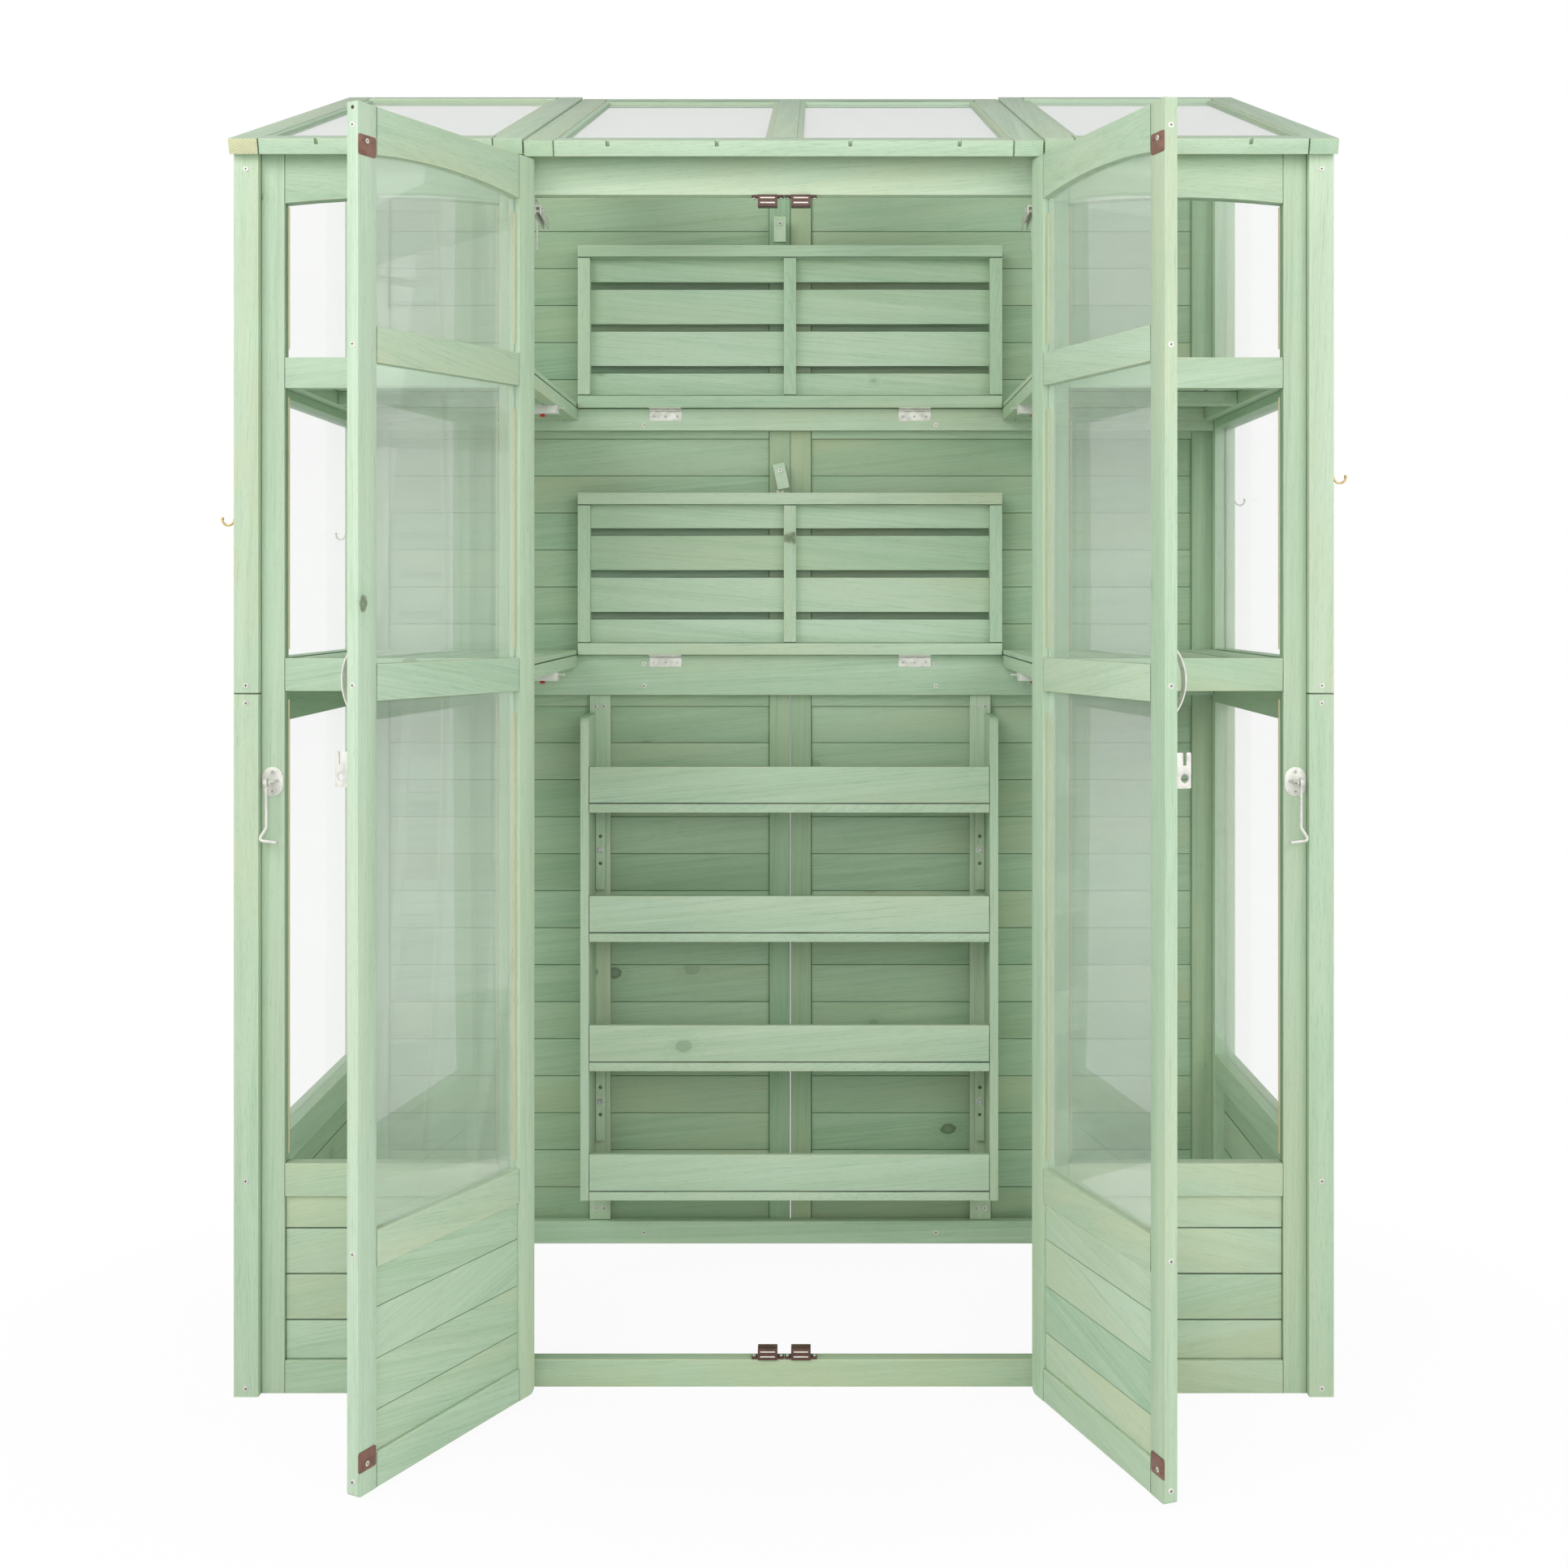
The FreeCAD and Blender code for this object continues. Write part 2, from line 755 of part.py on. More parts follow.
def tilt(compound):
    turn = FreeCAD.Rotation(FreeCAD.Vector(1, 0, 0), 10)
    compound.Placement = FreeCAD.Placement(FreeCAD.Vector(0, 0, 0), turn)
    compound.setExpression("Placement.Rotation.Angle", "sizes.roof_angle")
    settle(compound, "0", "-roof_front_over", "roof_front_top")


def notched_rail(name, x, z, notches):
    rail = stick(name + "_bar", x, ("0", "roof_rail_wide"), z)
    tools = []
    for index, centre in enumerate(notches):
        limits = ("%s - notch_wide / 2" % centre, "%s + notch_wide / 2" % centre)
        tools.append(stick("%s_notch_%d" % (name, index), limits, ("-1", "notch_long"),
                           ("%s - notch_deep" % z[1], "%s + 1" % z[1])))
    return cut(name, rail, fuse(name + "_notches", tools))


def roof_frame(name, x, z, bar, apart):
    """Side rails run through, front and back rails sit between them."""
    inner = ("%s + roof_rail_wide" % x[0], "%s - roof_rail_wide" % x[1])
    middle = "((%s) + (%s)) / 2" % (x[0], x[1])
    bays = [(inner[0], inner[1])]
    pieces = [
        stick(name + "_left_rail", (x[0], inner[0]), ("0", "roof_long"), z),
        stick(name + "_right_rail", (inner[1], x[1]), ("0", "roof_long"), z),
        stick(name + "_back_rail", inner, ("roof_long - roof_rail_wide", "roof_long"), z),
    ]
    if bar:
        bar_x = (middle + " - vent_bar / 2", middle + " + vent_bar / 2")
        bays = [(inner[0], bar_x[0]), (bar_x[1], inner[1])]
        pieces.append(stick(name + "_bar", bar_x, ("roof_rail_wide", "roof_long - roof_rail_wide"), z))
    notches = []
    for low, high in bays:
        centre = "((%s) + (%s)) / 2" % (low, high)
        notches += ["(%s - %s / 2)" % (centre, apart), "(%s + %s / 2)" % (centre, apart)]
    pieces.append(notched_rail(name + "_front_rail", inner, z, notches))
    pane_z = ("%s - roof_pane_deep - pane_thick" % z[1], "%s - roof_pane_deep" % z[1])
    panes = []
    for index, (low, high) in enumerate(bays):
        panes.append(stick("%s_pane_%d" % (name, index), (low, high),
                           ("roof_rail_wide", "roof_long - roof_rail_wide"), pane_z))
    return pieces, panes


def roof():
    fixed_z = ("-roof_rail_thick", "0")
    panes = []
    for word, side in SIDES.items():
        x = across(side, "vent_half + vent_side_gap", "roof_half")
        pieces, sheets = roof_frame("roof_" + word, x, fixed_z, False, "side_notch_apart")
        tilt(group("roof_frame_" + word, pieces))
        panes += sheets
    tilt(group("roof_glazing", panes))
    vent_z = ("-vent_low", "-vent_drop")
    pieces, sheets = roof_frame("vent", ("-vent_half", "vent_half"), vent_z, True,
                                "vent_notch_apart")
    tilt(group("vent_frame", pieces))
    tilt(group("vent_glazing", sheets))


# Doors, drawn closed with the hinge pin at the origin, then placed and opened

def door_place(compound, side):
    angle = "sizes.left_open" if side < 0 else "sizes.right_open"
    axis = FreeCAD.Vector(0, 0, side)
    compound.Placement = FreeCAD.Placement(FreeCAD.Vector(0, 0, 0), FreeCAD.Rotation(axis, 90))
    compound.setExpression("Placement.Rotation.Angle", angle)
    settle(compound, at_side(side, "pivot_x"), "pivot_y", "0")


def door_x(side, near, far):
    """Limits measured from the hinge pin towards the middle of the closed door."""
    return across(-side, near, far)


def round_foot(name, base, x, radius):
    """A stile whose lower outside corner is rounded."""
    filleted = doc.addObject("Part::Fillet", name)
    filleted.Base = base
    doc.recompute()
    found = 0
    for index, edge in enumerate(base.Shape.Edges):
        box = edge.BoundBox
        if box.ZLength < 0.01 and box.XLength < 0.01 and abs(box.XMin - x) < 0.01:
            if abs(box.ZMin - base.Shape.BoundBox.ZMin) < 0.01:
                found = index + 1
    filleted.Edges = [(found, radius, radius)]
    return filleted


def door(word, side):
    y = ("door_face", "door_back")
    hinge_x = door_x(side, "door_edge", "door_edge + door_stile")
    free_x = door_x(side, "door_end - door_stile", "door_end")
    between = door_x(side, "door_edge + door_stile", "door_end - door_stile")
    name = "door_%s" % word
    hinge_stile = stick(name + "_hinge_stile_bar", hinge_x, y, ("door_foot", "door_head"))
    free_stile = stick(name + "_free_stile_bar", free_x, y, ("door_foot", "door_head"))
    corner = number("door_corner")
    hinge_line = -side * number("door_edge")
    free_line = -side * number("door_end")
    pieces = [
        round_foot(name + "_hinge_stile", hinge_stile, hinge_line, corner),
        round_foot(name + "_free_stile", free_stile, free_line, corner / 2),
        stick(name + "_bottom_rail", between, y, ("door_foot", "door_foot + door_bottom_tall")),
        stick(name + "_sill", between, y, ("door_sill_low", "door_sill_low + rail_tall")),
        stick(name + "_low_mid", between, y, ("door_low_mid", "door_low_mid + rail_tall")),
        stick(name + "_up_mid", between, y, ("door_up_mid", "door_up_mid + door_up_mid_tall")),
        arched_rail(name + "_head", between, y, "door_arch_foot", "door_arch_rise", "door_head"),
    ]
    door_place(group("door_frame_" + word, pieces), side)

    board_y = ("door_face + (door_thick - door_board_thick) / 2",
               "door_face + (door_thick + door_board_thick) / 2")
    boards = board_field(name + "_board", between, board_y, "door_foot + door_bottom_tall",
                         "door_sill_low", "apron_first_joint")
    door_place(group("door_boards_" + word, boards), side)

    pane_y = ("door_face + (door_thick - pane_thick) / 2",
              "door_face + (door_thick + pane_thick) / 2")
    panes = [
        stick(name + "_pane_low", between, pane_y, ("door_sill_low + rail_tall", "door_low_mid")),
        stick(name + "_pane_mid", between, pane_y, ("door_low_mid + rail_tall", "door_up_mid")),
        arched_pane(name + "_pane_high", between, pane_y, "door_up_mid + door_up_mid_tall",
                    "door_arch_foot", "door_arch_rise"),
    ]
    door_place(group("door_glazing_" + word, panes), side)
    door_place(group("door_handle_" + word, [bow_handle(name, side)]), side)
    door_place(group("door_fittings_" + word, [hasp(name, side)] + door_leaves(name, side)), side)
    door_place(group("strike_plates_" + word, strikes(name, side)), side)


def bow_handle(name, side):
    """A bent strap that stands out from the outer face, near the free edge."""
    centre = "door_end - handle_inset"
    x = door_x(side, centre + " - handle_wide / 2", centre + " + handle_wide / 2")
    radius = "(handle_chord * handle_chord / 4 + handle_rise * handle_rise) / (2 * handle_rise)"
    centre_y = "door_face - handle_rise + %s" % radius
    outer = disc(name + "_bow_outer", (x[0], centre_y, "handle_height"), "+x", radius,
                 "handle_wide")
    inner = disc(name + "_bow_inner", (x[0], centre_y, "handle_height"), "+x",
                 "%s - handle_strap" % radius, "handle_wide")
    ring = cut(name + "_bow_ring", outer, inner)
    reach = "handle_chord"
    window = stick(name + "_bow_window", x, ("door_face - handle_rise - 1", "door_face"),
                   ("handle_height - " + reach, "handle_height + " + reach))
    bow = common(name + "_bow", ring, window)
    half = "handle_chord / 2"
    feet = []
    for index, sign in enumerate(("-", "+")):
        ends = ("handle_height - %s - handle_foot" % half, "handle_height - %s + 3" % half)
        if sign == "+":
            ends = ("handle_height + %s - 3" % half, "handle_height + %s + handle_foot" % half)
        feet.append(stick("%s_handle_foot_%d" % (name, index), x,
                          ("door_face - handle_strap", "door_face"), ends))
    return fuse(name + "_handle", [bow] + feet)


def hasp(name, side):
    """A bent plate: one leg on the outer face, one flange out from the free edge."""
    flange_x = door_x(side, "door_end - hasp_thick", "door_end")
    top = "hasp_low + hasp_tall"
    flange = stick(name + "_hasp_flange", flange_x, ("door_face - hasp_out", "door_face"),
                   ("hasp_low", top))
    leg_x = door_x(side, "door_end - hasp_leg", "door_end")
    leg = stick(name + "_hasp_leg", leg_x, ("door_face - hasp_thick", "door_face"),
                ("hasp_low", top))
    middle_y = "door_face - hasp_thick - (hasp_out - hasp_thick) / 2"
    run = "hasp_thick + 2"
    start = door_x(side, "door_end - hasp_thick - 1", "door_end + 1")[0]
    hole = disc(name + "_hasp_hole", (start, middle_y, "hasp_low + hasp_hole_up"), "+x",
                "hasp_hole_radius", run)
    slot_x = door_x(side, "door_end - hasp_thick - 1", "door_end + 1")
    slot_y = (middle_y + " - hasp_slot_wide / 2", middle_y + " + hasp_slot_wide / 2")
    slot = stick(name + "_hasp_slot", slot_x, slot_y, (top + " - hasp_slot_deep", top + " + 1"))
    plate = fuse(name + "_hasp_plate", [flange, leg])
    return cut(name + "_hasp", plate, fuse(name + "_hasp_cuts", [hole, slot]))


HINGE_STARTS = ("door_hinge_low", "door_hinge_mid", "door_hinge_high")


def door_leaves(name, side):
    leaves = []
    for index, start in enumerate(HINGE_STARTS):
        plate = (door_x(side, "door_edge - leaf_thick", "door_edge"),
                 ("barrel_radius + 0.2", "barrel_radius + door_leaf_wide"))
        tab = (plate[0], ("0", "barrel_radius + 0.2"))
        leaves.append(hinge_half("%s_leaf_%d" % (name, index), "+z", ("0", "0"), start,
                                 "door_hinge_long", "barrel_radius", (1, 3), plate, tab))
    return leaves


def strikes(name, side):
    x = door_x(side, "door_end - strike_wide", "door_end")
    y = ("door_back", "door_back + strike_thick")
    return [
        stick(name + "_strike_top", x, y, ("strike_top_low", "strike_top_low + strike_tall")),
        stick(name + "_strike_foot", x, y, ("strike_foot_low", "strike_foot_low + strike_tall")),
    ]


# Fixed hinge leaves of the doors, flaps and vent

FLAPS = {"upper": "up_cleat_top", "lower": "low_cleat_top"}


def flap_hinge_starts():
    return ("-flap_hinge_at - flap_leaf_long / 2", "flap_hinge_at - flap_leaf_long / 2")


def fixed_leaves():
    leaves = []
    for word, side in SIDES.items():
        for index, start in enumerate(HINGE_STARTS):
            edge = across(side, "opening_half - leaf_thick", "opening_half")
            plate = (edge, ("pivot_y + barrel_radius + 0.2",
                            "pivot_y + barrel_radius + door_leaf_wide"))
            tab = (edge, ("pivot_y", "pivot_y + barrel_radius + 0.2"))
            leaves.append(hinge_half("post_%s_leaf_%d" % (word, index), "+z",
                                     (at_side(side, "pivot_x"), "pivot_y"), start,
                                     "door_hinge_long", "barrel_radius", (0, 2, 4), plate, tab))
    for word, cleat_top in FLAPS.items():
        pivot_z = "%s - flap_drop" % cleat_top
        for index, start in enumerate(flap_hinge_starts()):
            plate = (("cleat_face_y - flap_leaf", "cleat_face_y"),
                     ("%s - flap_leaf_tall" % pivot_z, "%s - flap_drop" % pivot_z))
            tab = (("cleat_face_y - flap_leaf", "cleat_face_y - 0.4"),
                   ("%s - flap_drop" % pivot_z, pivot_z))
            leaves.append(hinge_half("cleat_%s_leaf_%d" % (word, index), "+x",
                                     ("flap_pivot_y", pivot_z), start, "flap_leaf_long",
                                     "flap_knuckle", (0, 2, 4), plate, tab))
    for index, start in enumerate(flap_hinge_starts()):
        plate = (("body_depth", "body_depth + leaf_thick"),
                 ("vent_pivot_z - 26", "vent_pivot_z - barrel_radius - 0.2"))
        tab = (plate[0], ("vent_pivot_z - barrel_radius - 0.2", "vent_pivot_z"))
        leaves.append(hinge_half("back_leaf_%d" % index, "+x", ("vent_pivot_y", "vent_pivot_z"),
                                 start, "flap_leaf_long", "barrel_radius", (0, 2, 4), plate, tab))
    group("fixed_hinge_leaves", leaves)


def vent_leaves():
    """Leaves on the back edge of the vent, drawn in the flat roof frame."""
    leaves = []
    pin_z = "-vent_hinge_low"
    for index, start in enumerate(flap_hinge_starts()):
        edge = ("roof_long", "roof_long + leaf_thick")
        plate = (edge, ("-vent_low + barrel_gap", "-vent_low + vent_leaf_tall"))
        tab = (("vent_hinge_up + 1", edge[1]), (pin_z + " + 2", plate[1][0]))
        leaves.append(hinge_half("vent_leaf_%d" % index, "+x", ("vent_hinge_up", pin_z),
                                 start, "flap_leaf_long", "barrel_radius", (1, 3), plate, tab))
    tilt(group("vent_leaves", leaves))


# Side shelves

def side_shelf(name, side, top):
    inner = "opening_half"
    low = "%s - shelf_frame" % top
    frame_z = (low, top)
    front = "front_back_y"
    back = "cleat_face_y"
    full_x = across(side, inner, "inner_half")
    mid_x = across(side, inner + " + shelf_frame", "inner_half - shelf_frame")
    pieces = [
        stick(name + "_inner_rail", across(side, inner, inner + " + shelf_frame"),
              (front, back), frame_z),
        stick(name + "_outer_rail", across(side, "inner_half - shelf_frame", "inner_half"),
              (front, back), frame_z),
        stick(name + "_front_rail", mid_x, (front, front + " + shelf_frame"), frame_z),
        stick(name + "_back_rail", mid_x, (back + " - shelf_frame", back), frame_z),
        stick(name + "_middle_bar", mid_x, ("shelf_bar_at", "shelf_bar_at + shelf_bar"), frame_z),
    ]
    wide = "(inner_half - opening_half - (shelf_slat_count - 1) * shelf_slat_gap) / shelf_slat_count"
    for index in range(int(number("shelf_slat_count"))):
        start = "opening_half + %d * (%s + shelf_slat_gap)" % (index, wide)
        slat_x = across(side, start, "%s + %s" % (start, wide))
        pieces.append(stick("%s_slat_%d" % (name, index), slat_x, (front, back),
                            (top, top + " + shelf_slat")))
    return pieces


def side_shelves():
    for word, top in FLAPS.items():
        pieces = []
        for hand, side in SIDES.items():
            pieces += side_shelf("shelf_%s_%s" % (word, hand), side, top)
        group("%s_side_shelves" % word, pieces)


# Fold-down flaps, drawn folded up against the wall

def flap(word, foot):
    name = "flap_%s" % word
    x = ("-flap_half", "flap_half")
    y = ("flap_face", "flap_slat_front")
    top = "%s + flap_tall" % foot
    bay = ("%s + flap_rail" % foot, "%s - flap_rail" % top)
    pieces = [
        stick(name + "_bottom_rail", x, y, (foot, bay[0])),
        stick(name + "_top_rail", x, y, (bay[1], top)),
        stick(name + "_left_stile", ("-flap_half", "-flap_half + flap_rail"), y, bay),
        stick(name + "_right_stile", ("flap_half - flap_rail", "flap_half"), y, bay),
        stick(name + "_batten", ("-flap_rail / 2", "flap_rail / 2"), y, bay),
    ]
    for index in range(int(number("flap_slat_count"))):
        low = "%s + %d * (flap_slat + flap_slat_gap)" % (foot, index)
        pieces.append(stick("%s_slat_%d" % (name, index), x, ("flap_slat_front", "flap_slat_back"),
                            (low, low + " + flap_slat")))
    group("%s_flap" % word, pieces)

    fittings = []
    pivot_z = "%s - flap_drop" % foot
    for index, start in enumerate(flap_hinge_starts()):
        plate = (("flap_face + 2", "flap_pivot_y - flap_drop"),
                 ("%s - flap_leaf" % foot, foot))
        tab = (("flap_pivot_y - flap_drop", "flap_pivot_y"),
               ("%s - flap_leaf" % foot, "%s - 0.4" % foot))
        fittings.append(hinge_half("%s_leaf_%d" % (name, index), "+x", ("flap_pivot_y", pivot_z),
                                   start, "flap_leaf_long", "flap_knuckle", (1, 3), plate, tab))
    tab_x = ("button_at - tab_wide / 2", "button_at + tab_wide / 2")
    tab_y = ("flap_slat_back", "flap_slat_back + tab_thick")
    tab_plate = stick(name + "_tab_plate", tab_x, tab_y, (top + " - tab_grip", top + " + tab_up"))
    tab_hole = disc(name + "_tab_hole", ("button_at", "flap_slat_back - 1", top + " + tab_up"),
                    "+y", "tab_hole", "tab_thick + 2")
    fittings.append(cut(name + "_tab", tab_plate, tab_hole))
    group("%s_flap_fittings" % word, fittings)


# Turn buttons: the block turns on a screw near its top

def turn_button(word, flap_top, tilt_angle):
    name = "%s_button" % word
    pivot_z = "%s + tab_up + button_clear + button_down" % flap_top
    block = stick(name + "_block", ("-button_wide / 2", "button_wide / 2"),
                  ("0", "button_thick"), ("-button_down", "button_up"))
    bore = disc(name + "_bore", ("0", "-1", "0"), "+y", "button_screw + button_bore_clear",
                "button_thick + 2")
    compound = group(name, [cut(name + "_bored", block, bore)])
    turn = FreeCAD.Rotation(FreeCAD.Vector(0, -1, 0), 1)
    compound.Placement = FreeCAD.Placement(FreeCAD.Vector(0, 0, 0), turn)
    compound.setExpression("Placement.Rotation.Angle", bind(tilt_angle))
    settle(compound, "button_at", "button_face_y", pivot_z)
    head_y = "button_face_y - button_slack"
    screw = fuse(name + "_screw", [
        disc(name + "_shank", ("button_at", head_y, pivot_z), "+y", "button_screw",
             "packer_face_y - button_face_y + button_slack"),
        disc(name + "_head", ("button_at", head_y, pivot_z), "-y", "button_head",
             "button_head_tall"),
    ])
    packer = stick(name + "_packer", ("button_at - packer_half", "button_at + packer_half"),
                   ("packer_face_y", "back_face_y"),
                   (pivot_z + " - packer_half", pivot_z + " + packer_half"))
    return screw, packer


# Sliding bolts under the inner ends of the side shelves

def slide_bolt(word, side, level, top):
    name = "bolt_%s_%s" % (level, word)
    centre_z = "%s - bolt_centre_drop" % top
    body_x = across(side, "opening_half", "opening_half + bolt_long")
    body_top = "%s - shelf_frame" % top
    block = stick(name + "_block", body_x,
                  ("bolt_at - bolt_wide / 2", "bolt_at + bolt_wide / 2"),
                  ("%s - bolt_tall" % body_top, body_top))
    low_x = across(side, "opening_half - bolt_reach", "opening_half - bolt_reach + 1")[0]
    full = "bolt_reach + bolt_long + bolt_tail"
    pin_start = low_x if side > 0 else "-(opening_half + bolt_long + bolt_tail)"
    bore = disc(name + "_bore", (pin_start, "bolt_at", centre_z), "+x",
                "bolt_pin + bolt_pin_clear", full)
    knob_far = "opening_half + bolt_knob_at"
    slot_x = across(side, knob_far + " - bolt_knob - 0.3",
                    knob_far + " + bolt_knob + 0.3 + bolt_travel")
    slot = stick(name + "_slot", slot_x,
                 ("bolt_at - bolt_knob - 0.3", "bolt_at + bolt_knob + 0.3"),
                 ("%s - bolt_tall - 1" % body_top, centre_z))
    housing = cut(name + "_housing", block, fuse(name + "_ways", [bore, slot]))
    pin = disc(name + "_rod", (pin_start, "bolt_at", centre_z), "+x", "bolt_pin", full)
    knob = disc(name + "_knob", (at_side(side, knob_far), "bolt_at", centre_z), "-z",
                "bolt_knob", "bolt_tall - bolt_centre_drop + shelf_frame + bolt_knob_drop")
    group("bolt_pin_%s_%s" % (level, word), [fuse(name + "_pin", [pin, knob])])
    return housing


# Hanging rack

def rack():
    y = ("rack_front", "strip_face_y")
    sides = []
    shelves = []
    lips = []
    battens = []
    strips = []
    bolts = []
    for word, side in SIDES.items():
        name = "rack_%s" % word
        board = stick(name + "_board", across(side, "rack_inner", "rack_half"), y,
                      ("rack_foot", "rack_top"))
        sides.append(rounded_nose(name + "_side", board))
        strip_x = across(side, "rack_half - strip_inset - strip_wide", "rack_half - strip_inset")
        strip = stick(name + "_strip_bar", strip_x, ("strip_face_y", "back_face_y"),
                      ("foot_rail_tall", "low_cleat_top - low_cleat_tall"))
        batten_x = across(side, "rack_inner - batten_wide", "rack_inner")
        hole_x = at_side(side, "rack_inner - batten_wide / 2")
        holes = []
        for level, shelf in (("low", 1), ("high", 3)):
            top = "rack_foot + %d * rack_pitch" % shelf
            bar = stick("%s_%s_batten_bar" % (name, level), batten_x,
                        ("batten_face_y", "strip_face_y"), (top + " - batten_tall", top))
            middle = top + " - batten_bolt_drop"
            cuts = []
            for step in (-1, 0, 1):
                height = "%s + %d * batten_hole_step" % (middle, step)
                cuts.append(disc("%s_%s_hole_%d" % (name, level, step + 1),
                                 (hole_x, "batten_face_y - 1", height), "+y", "batten_hole",
                                 "batten_thick + 2"))
            battens.append(cut("%s_%s_batten" % (name, level), bar,
                               fuse("%s_%s_holes" % (name, level), cuts)))
            holes.append(disc("%s_%s_strip_hole" % (name, level),
                              (hole_x, "strip_face_y - 1", middle), "+y", "batten_hole",
                              "strip_thick + 2"))
            shank = disc("%s_%s_shank" % (name, level), (hole_x, "batten_face_y", middle), "+y",
                         "rack_bolt", "batten_thick + strip_thick")
            head = disc("%s_%s_head" % (name, level), (hole_x, "batten_face_y", middle), "-y",
                        "rack_bolt_head", "rack_bolt_head_tall")
            bolts.append(fuse("%s_%s_bolt" % (name, level), [shank, head]))
        strips.append(cut(name + "_strip", strip, fuse(name + "_strip_holes", holes)))
    x = ("-rack_inner", "rack_inner")
    for index in range(int(number("rack_shelf_count"))):
        low = "rack_foot + %d * rack_pitch" % index
        top = low + " + rack_board"
        shelves.append(stick("rack_shelf_%d" % index, x, y, (low, top)))
        lips.append(stick("rack_lip_%d" % index, x, ("rack_front", "rack_front + rack_lip_thick"),
                          (top, top + " + rack_lip_tall")))
    group("rack_sides", sides)
    group("rack_shelves", shelves)
    group("rack_lips", lips)
    group("rack_battens", battens)
    group("wall_strips", strips)
    group("rack_bolts", bolts)


def rounded_nose(name, base):
    """A side board whose top front corner is rounded."""
    filleted = doc.addObject("Part::Fillet", name)
    filleted.Base = base
    doc.recompute()
    box = base.Shape.BoundBox
    found = 0
    for index, edge in enumerate(base.Shape.Edges):
        limits = edge.BoundBox
        if abs(limits.YMax - box.YMin) < 0.01 and abs(limits.ZMin - box.ZMax) < 0.01:
            found = index + 1
    radius = number("rack_nose")
    filleted.Edges = [(found, radius, radius)]
    return filleted


# Cabin hooks on the outer stiles

def eye_plate(word, side):
    """An oval plate with an ear that carries a headed pin."""
    name = "eye_%s" % word
    face = "front_setback"
    half = "eye_plate_wide / 2"
    straight = "(eye_plate_tall - eye_plate_wide) / 2"
    centre = at_side(side, "eye_at")
    thick_at = "%s - eye_plate_thick" % face
    parts = [
        stick(name + "_plate", (centre + " - " + half, centre + " + " + half), (thick_at, face),
              ("eye_height - " + straight, "eye_height + " + straight)),
        disc(name + "_top", (centre, thick_at, "eye_height + " + straight), "+y", half,
             "eye_plate_thick"),
        disc(name + "_foot", (centre, thick_at, "eye_height - " + straight), "+y", half,
             "eye_plate_thick"),
        stick(name + "_ear", across(side, "eye_at - 1", "eye_at + 1"),
              ("%s - eye_ear_out - 2.5" % face, face), ("eye_height - 3", "eye_height + 3")),
    ]
    pin_x = across(side, "eye_at", "eye_at + eye_pin_long")[0]
    parts.append(disc(name + "_pin", (pin_x, "%s - eye_ear_out" % face, "eye_height"), "+x",
                      "eye_pin", "eye_pin_long"))
    head_x = across(side, "eye_at + eye_pin_long", "eye_at + eye_pin_long + 1.2")[0]
    parts.append(disc(name + "_pin_head", (head_x, "%s - eye_ear_out" % face, "eye_height"), "+x",
                      "eye_pin_head", "1.2"))
    return fuse(name, parts)


def cabin_hook(word, side):
    """A wire hook whose loop hangs on the pin of the eye plate."""
    x = side * (number("eye_at") + 1 + (number("eye_pin_long") - 1) / 2)
    y = number("front_setback - eye_ear_out")
    top = number("eye_height")
    wire = number("hook_wire")
    loop = number("hook_loop")
    ring = Part.makeTorus(loop, wire, FreeCAD.Vector(x, y, top), FreeCAD.Vector(1, 0, 0))
    start = top - loop
    bottom = start - number("hook_long")
    kick_x = x + side * number("hook_kick")
    kick_z = bottom - number("hook_kick_drop")
    tip_x = kick_x - side * number("hook_tip")
    tip_z = kick_z - number("hook_tip_drop")
    points = [(x, y, start), (x, y, bottom), (kick_x, y, kick_z), (tip_x, y, tip_z)]
    wire_shape = bent_wire("hook", points, wire, wire * 1.6)
    solid_node("cabin_hook_" + word, ring.fuse(wire_shape).removeSplitter())


# Cup hooks on the outside of the side walls

def cup_hook(side, y, height):
    """A shank with a round flange that ends in an open half ring."""
    x = side * number("half_width")
    wire = number("cup_wire")
    radius = number("cup_radius")
    out = x + side * number("cup_out")
    root = FreeCAD.Vector(x, y, height)
    first = FreeCAD.Vector(out - side * radius, y, height)
    low = FreeCAD.Vector(out, y, height - radius)
    last = FreeCAD.Vector(out + side * radius, y, height + number("cup_tip_rise"))
    outward = FreeCAD.Vector(side, 0, 0)
    shank = Part.makeCylinder(wire, number("cup_out") - radius, root, outward)
    flange = Part.makeCylinder(number("cup_flange"), number("cup_flange_thick"), root, outward)
    bend = Part.Wire([Part.Arc(first, low, last).toShape()])
    section = Part.Wire([Part.makeCircle(wire, first, UP)])
    bow = bend.makePipeShell([section], True, False)
    tip = Part.makeSphere(wire * 1.5, last)
    elbow = Part.makeSphere(wire, first)
    return shank.multiFuse([flange, elbow, bow, tip])


def cup_hooks():
    for part in ("front", "back"):
        y = number("cup_%s_at" % part)
        hooks = [cup_hook(side, y, number("cup_%s_height" % word)) for word, side in SIDES.items()]
        solid_node("%s_cup_hooks" % part, Part.makeCompound(hooks))


# Prop stays under the vent

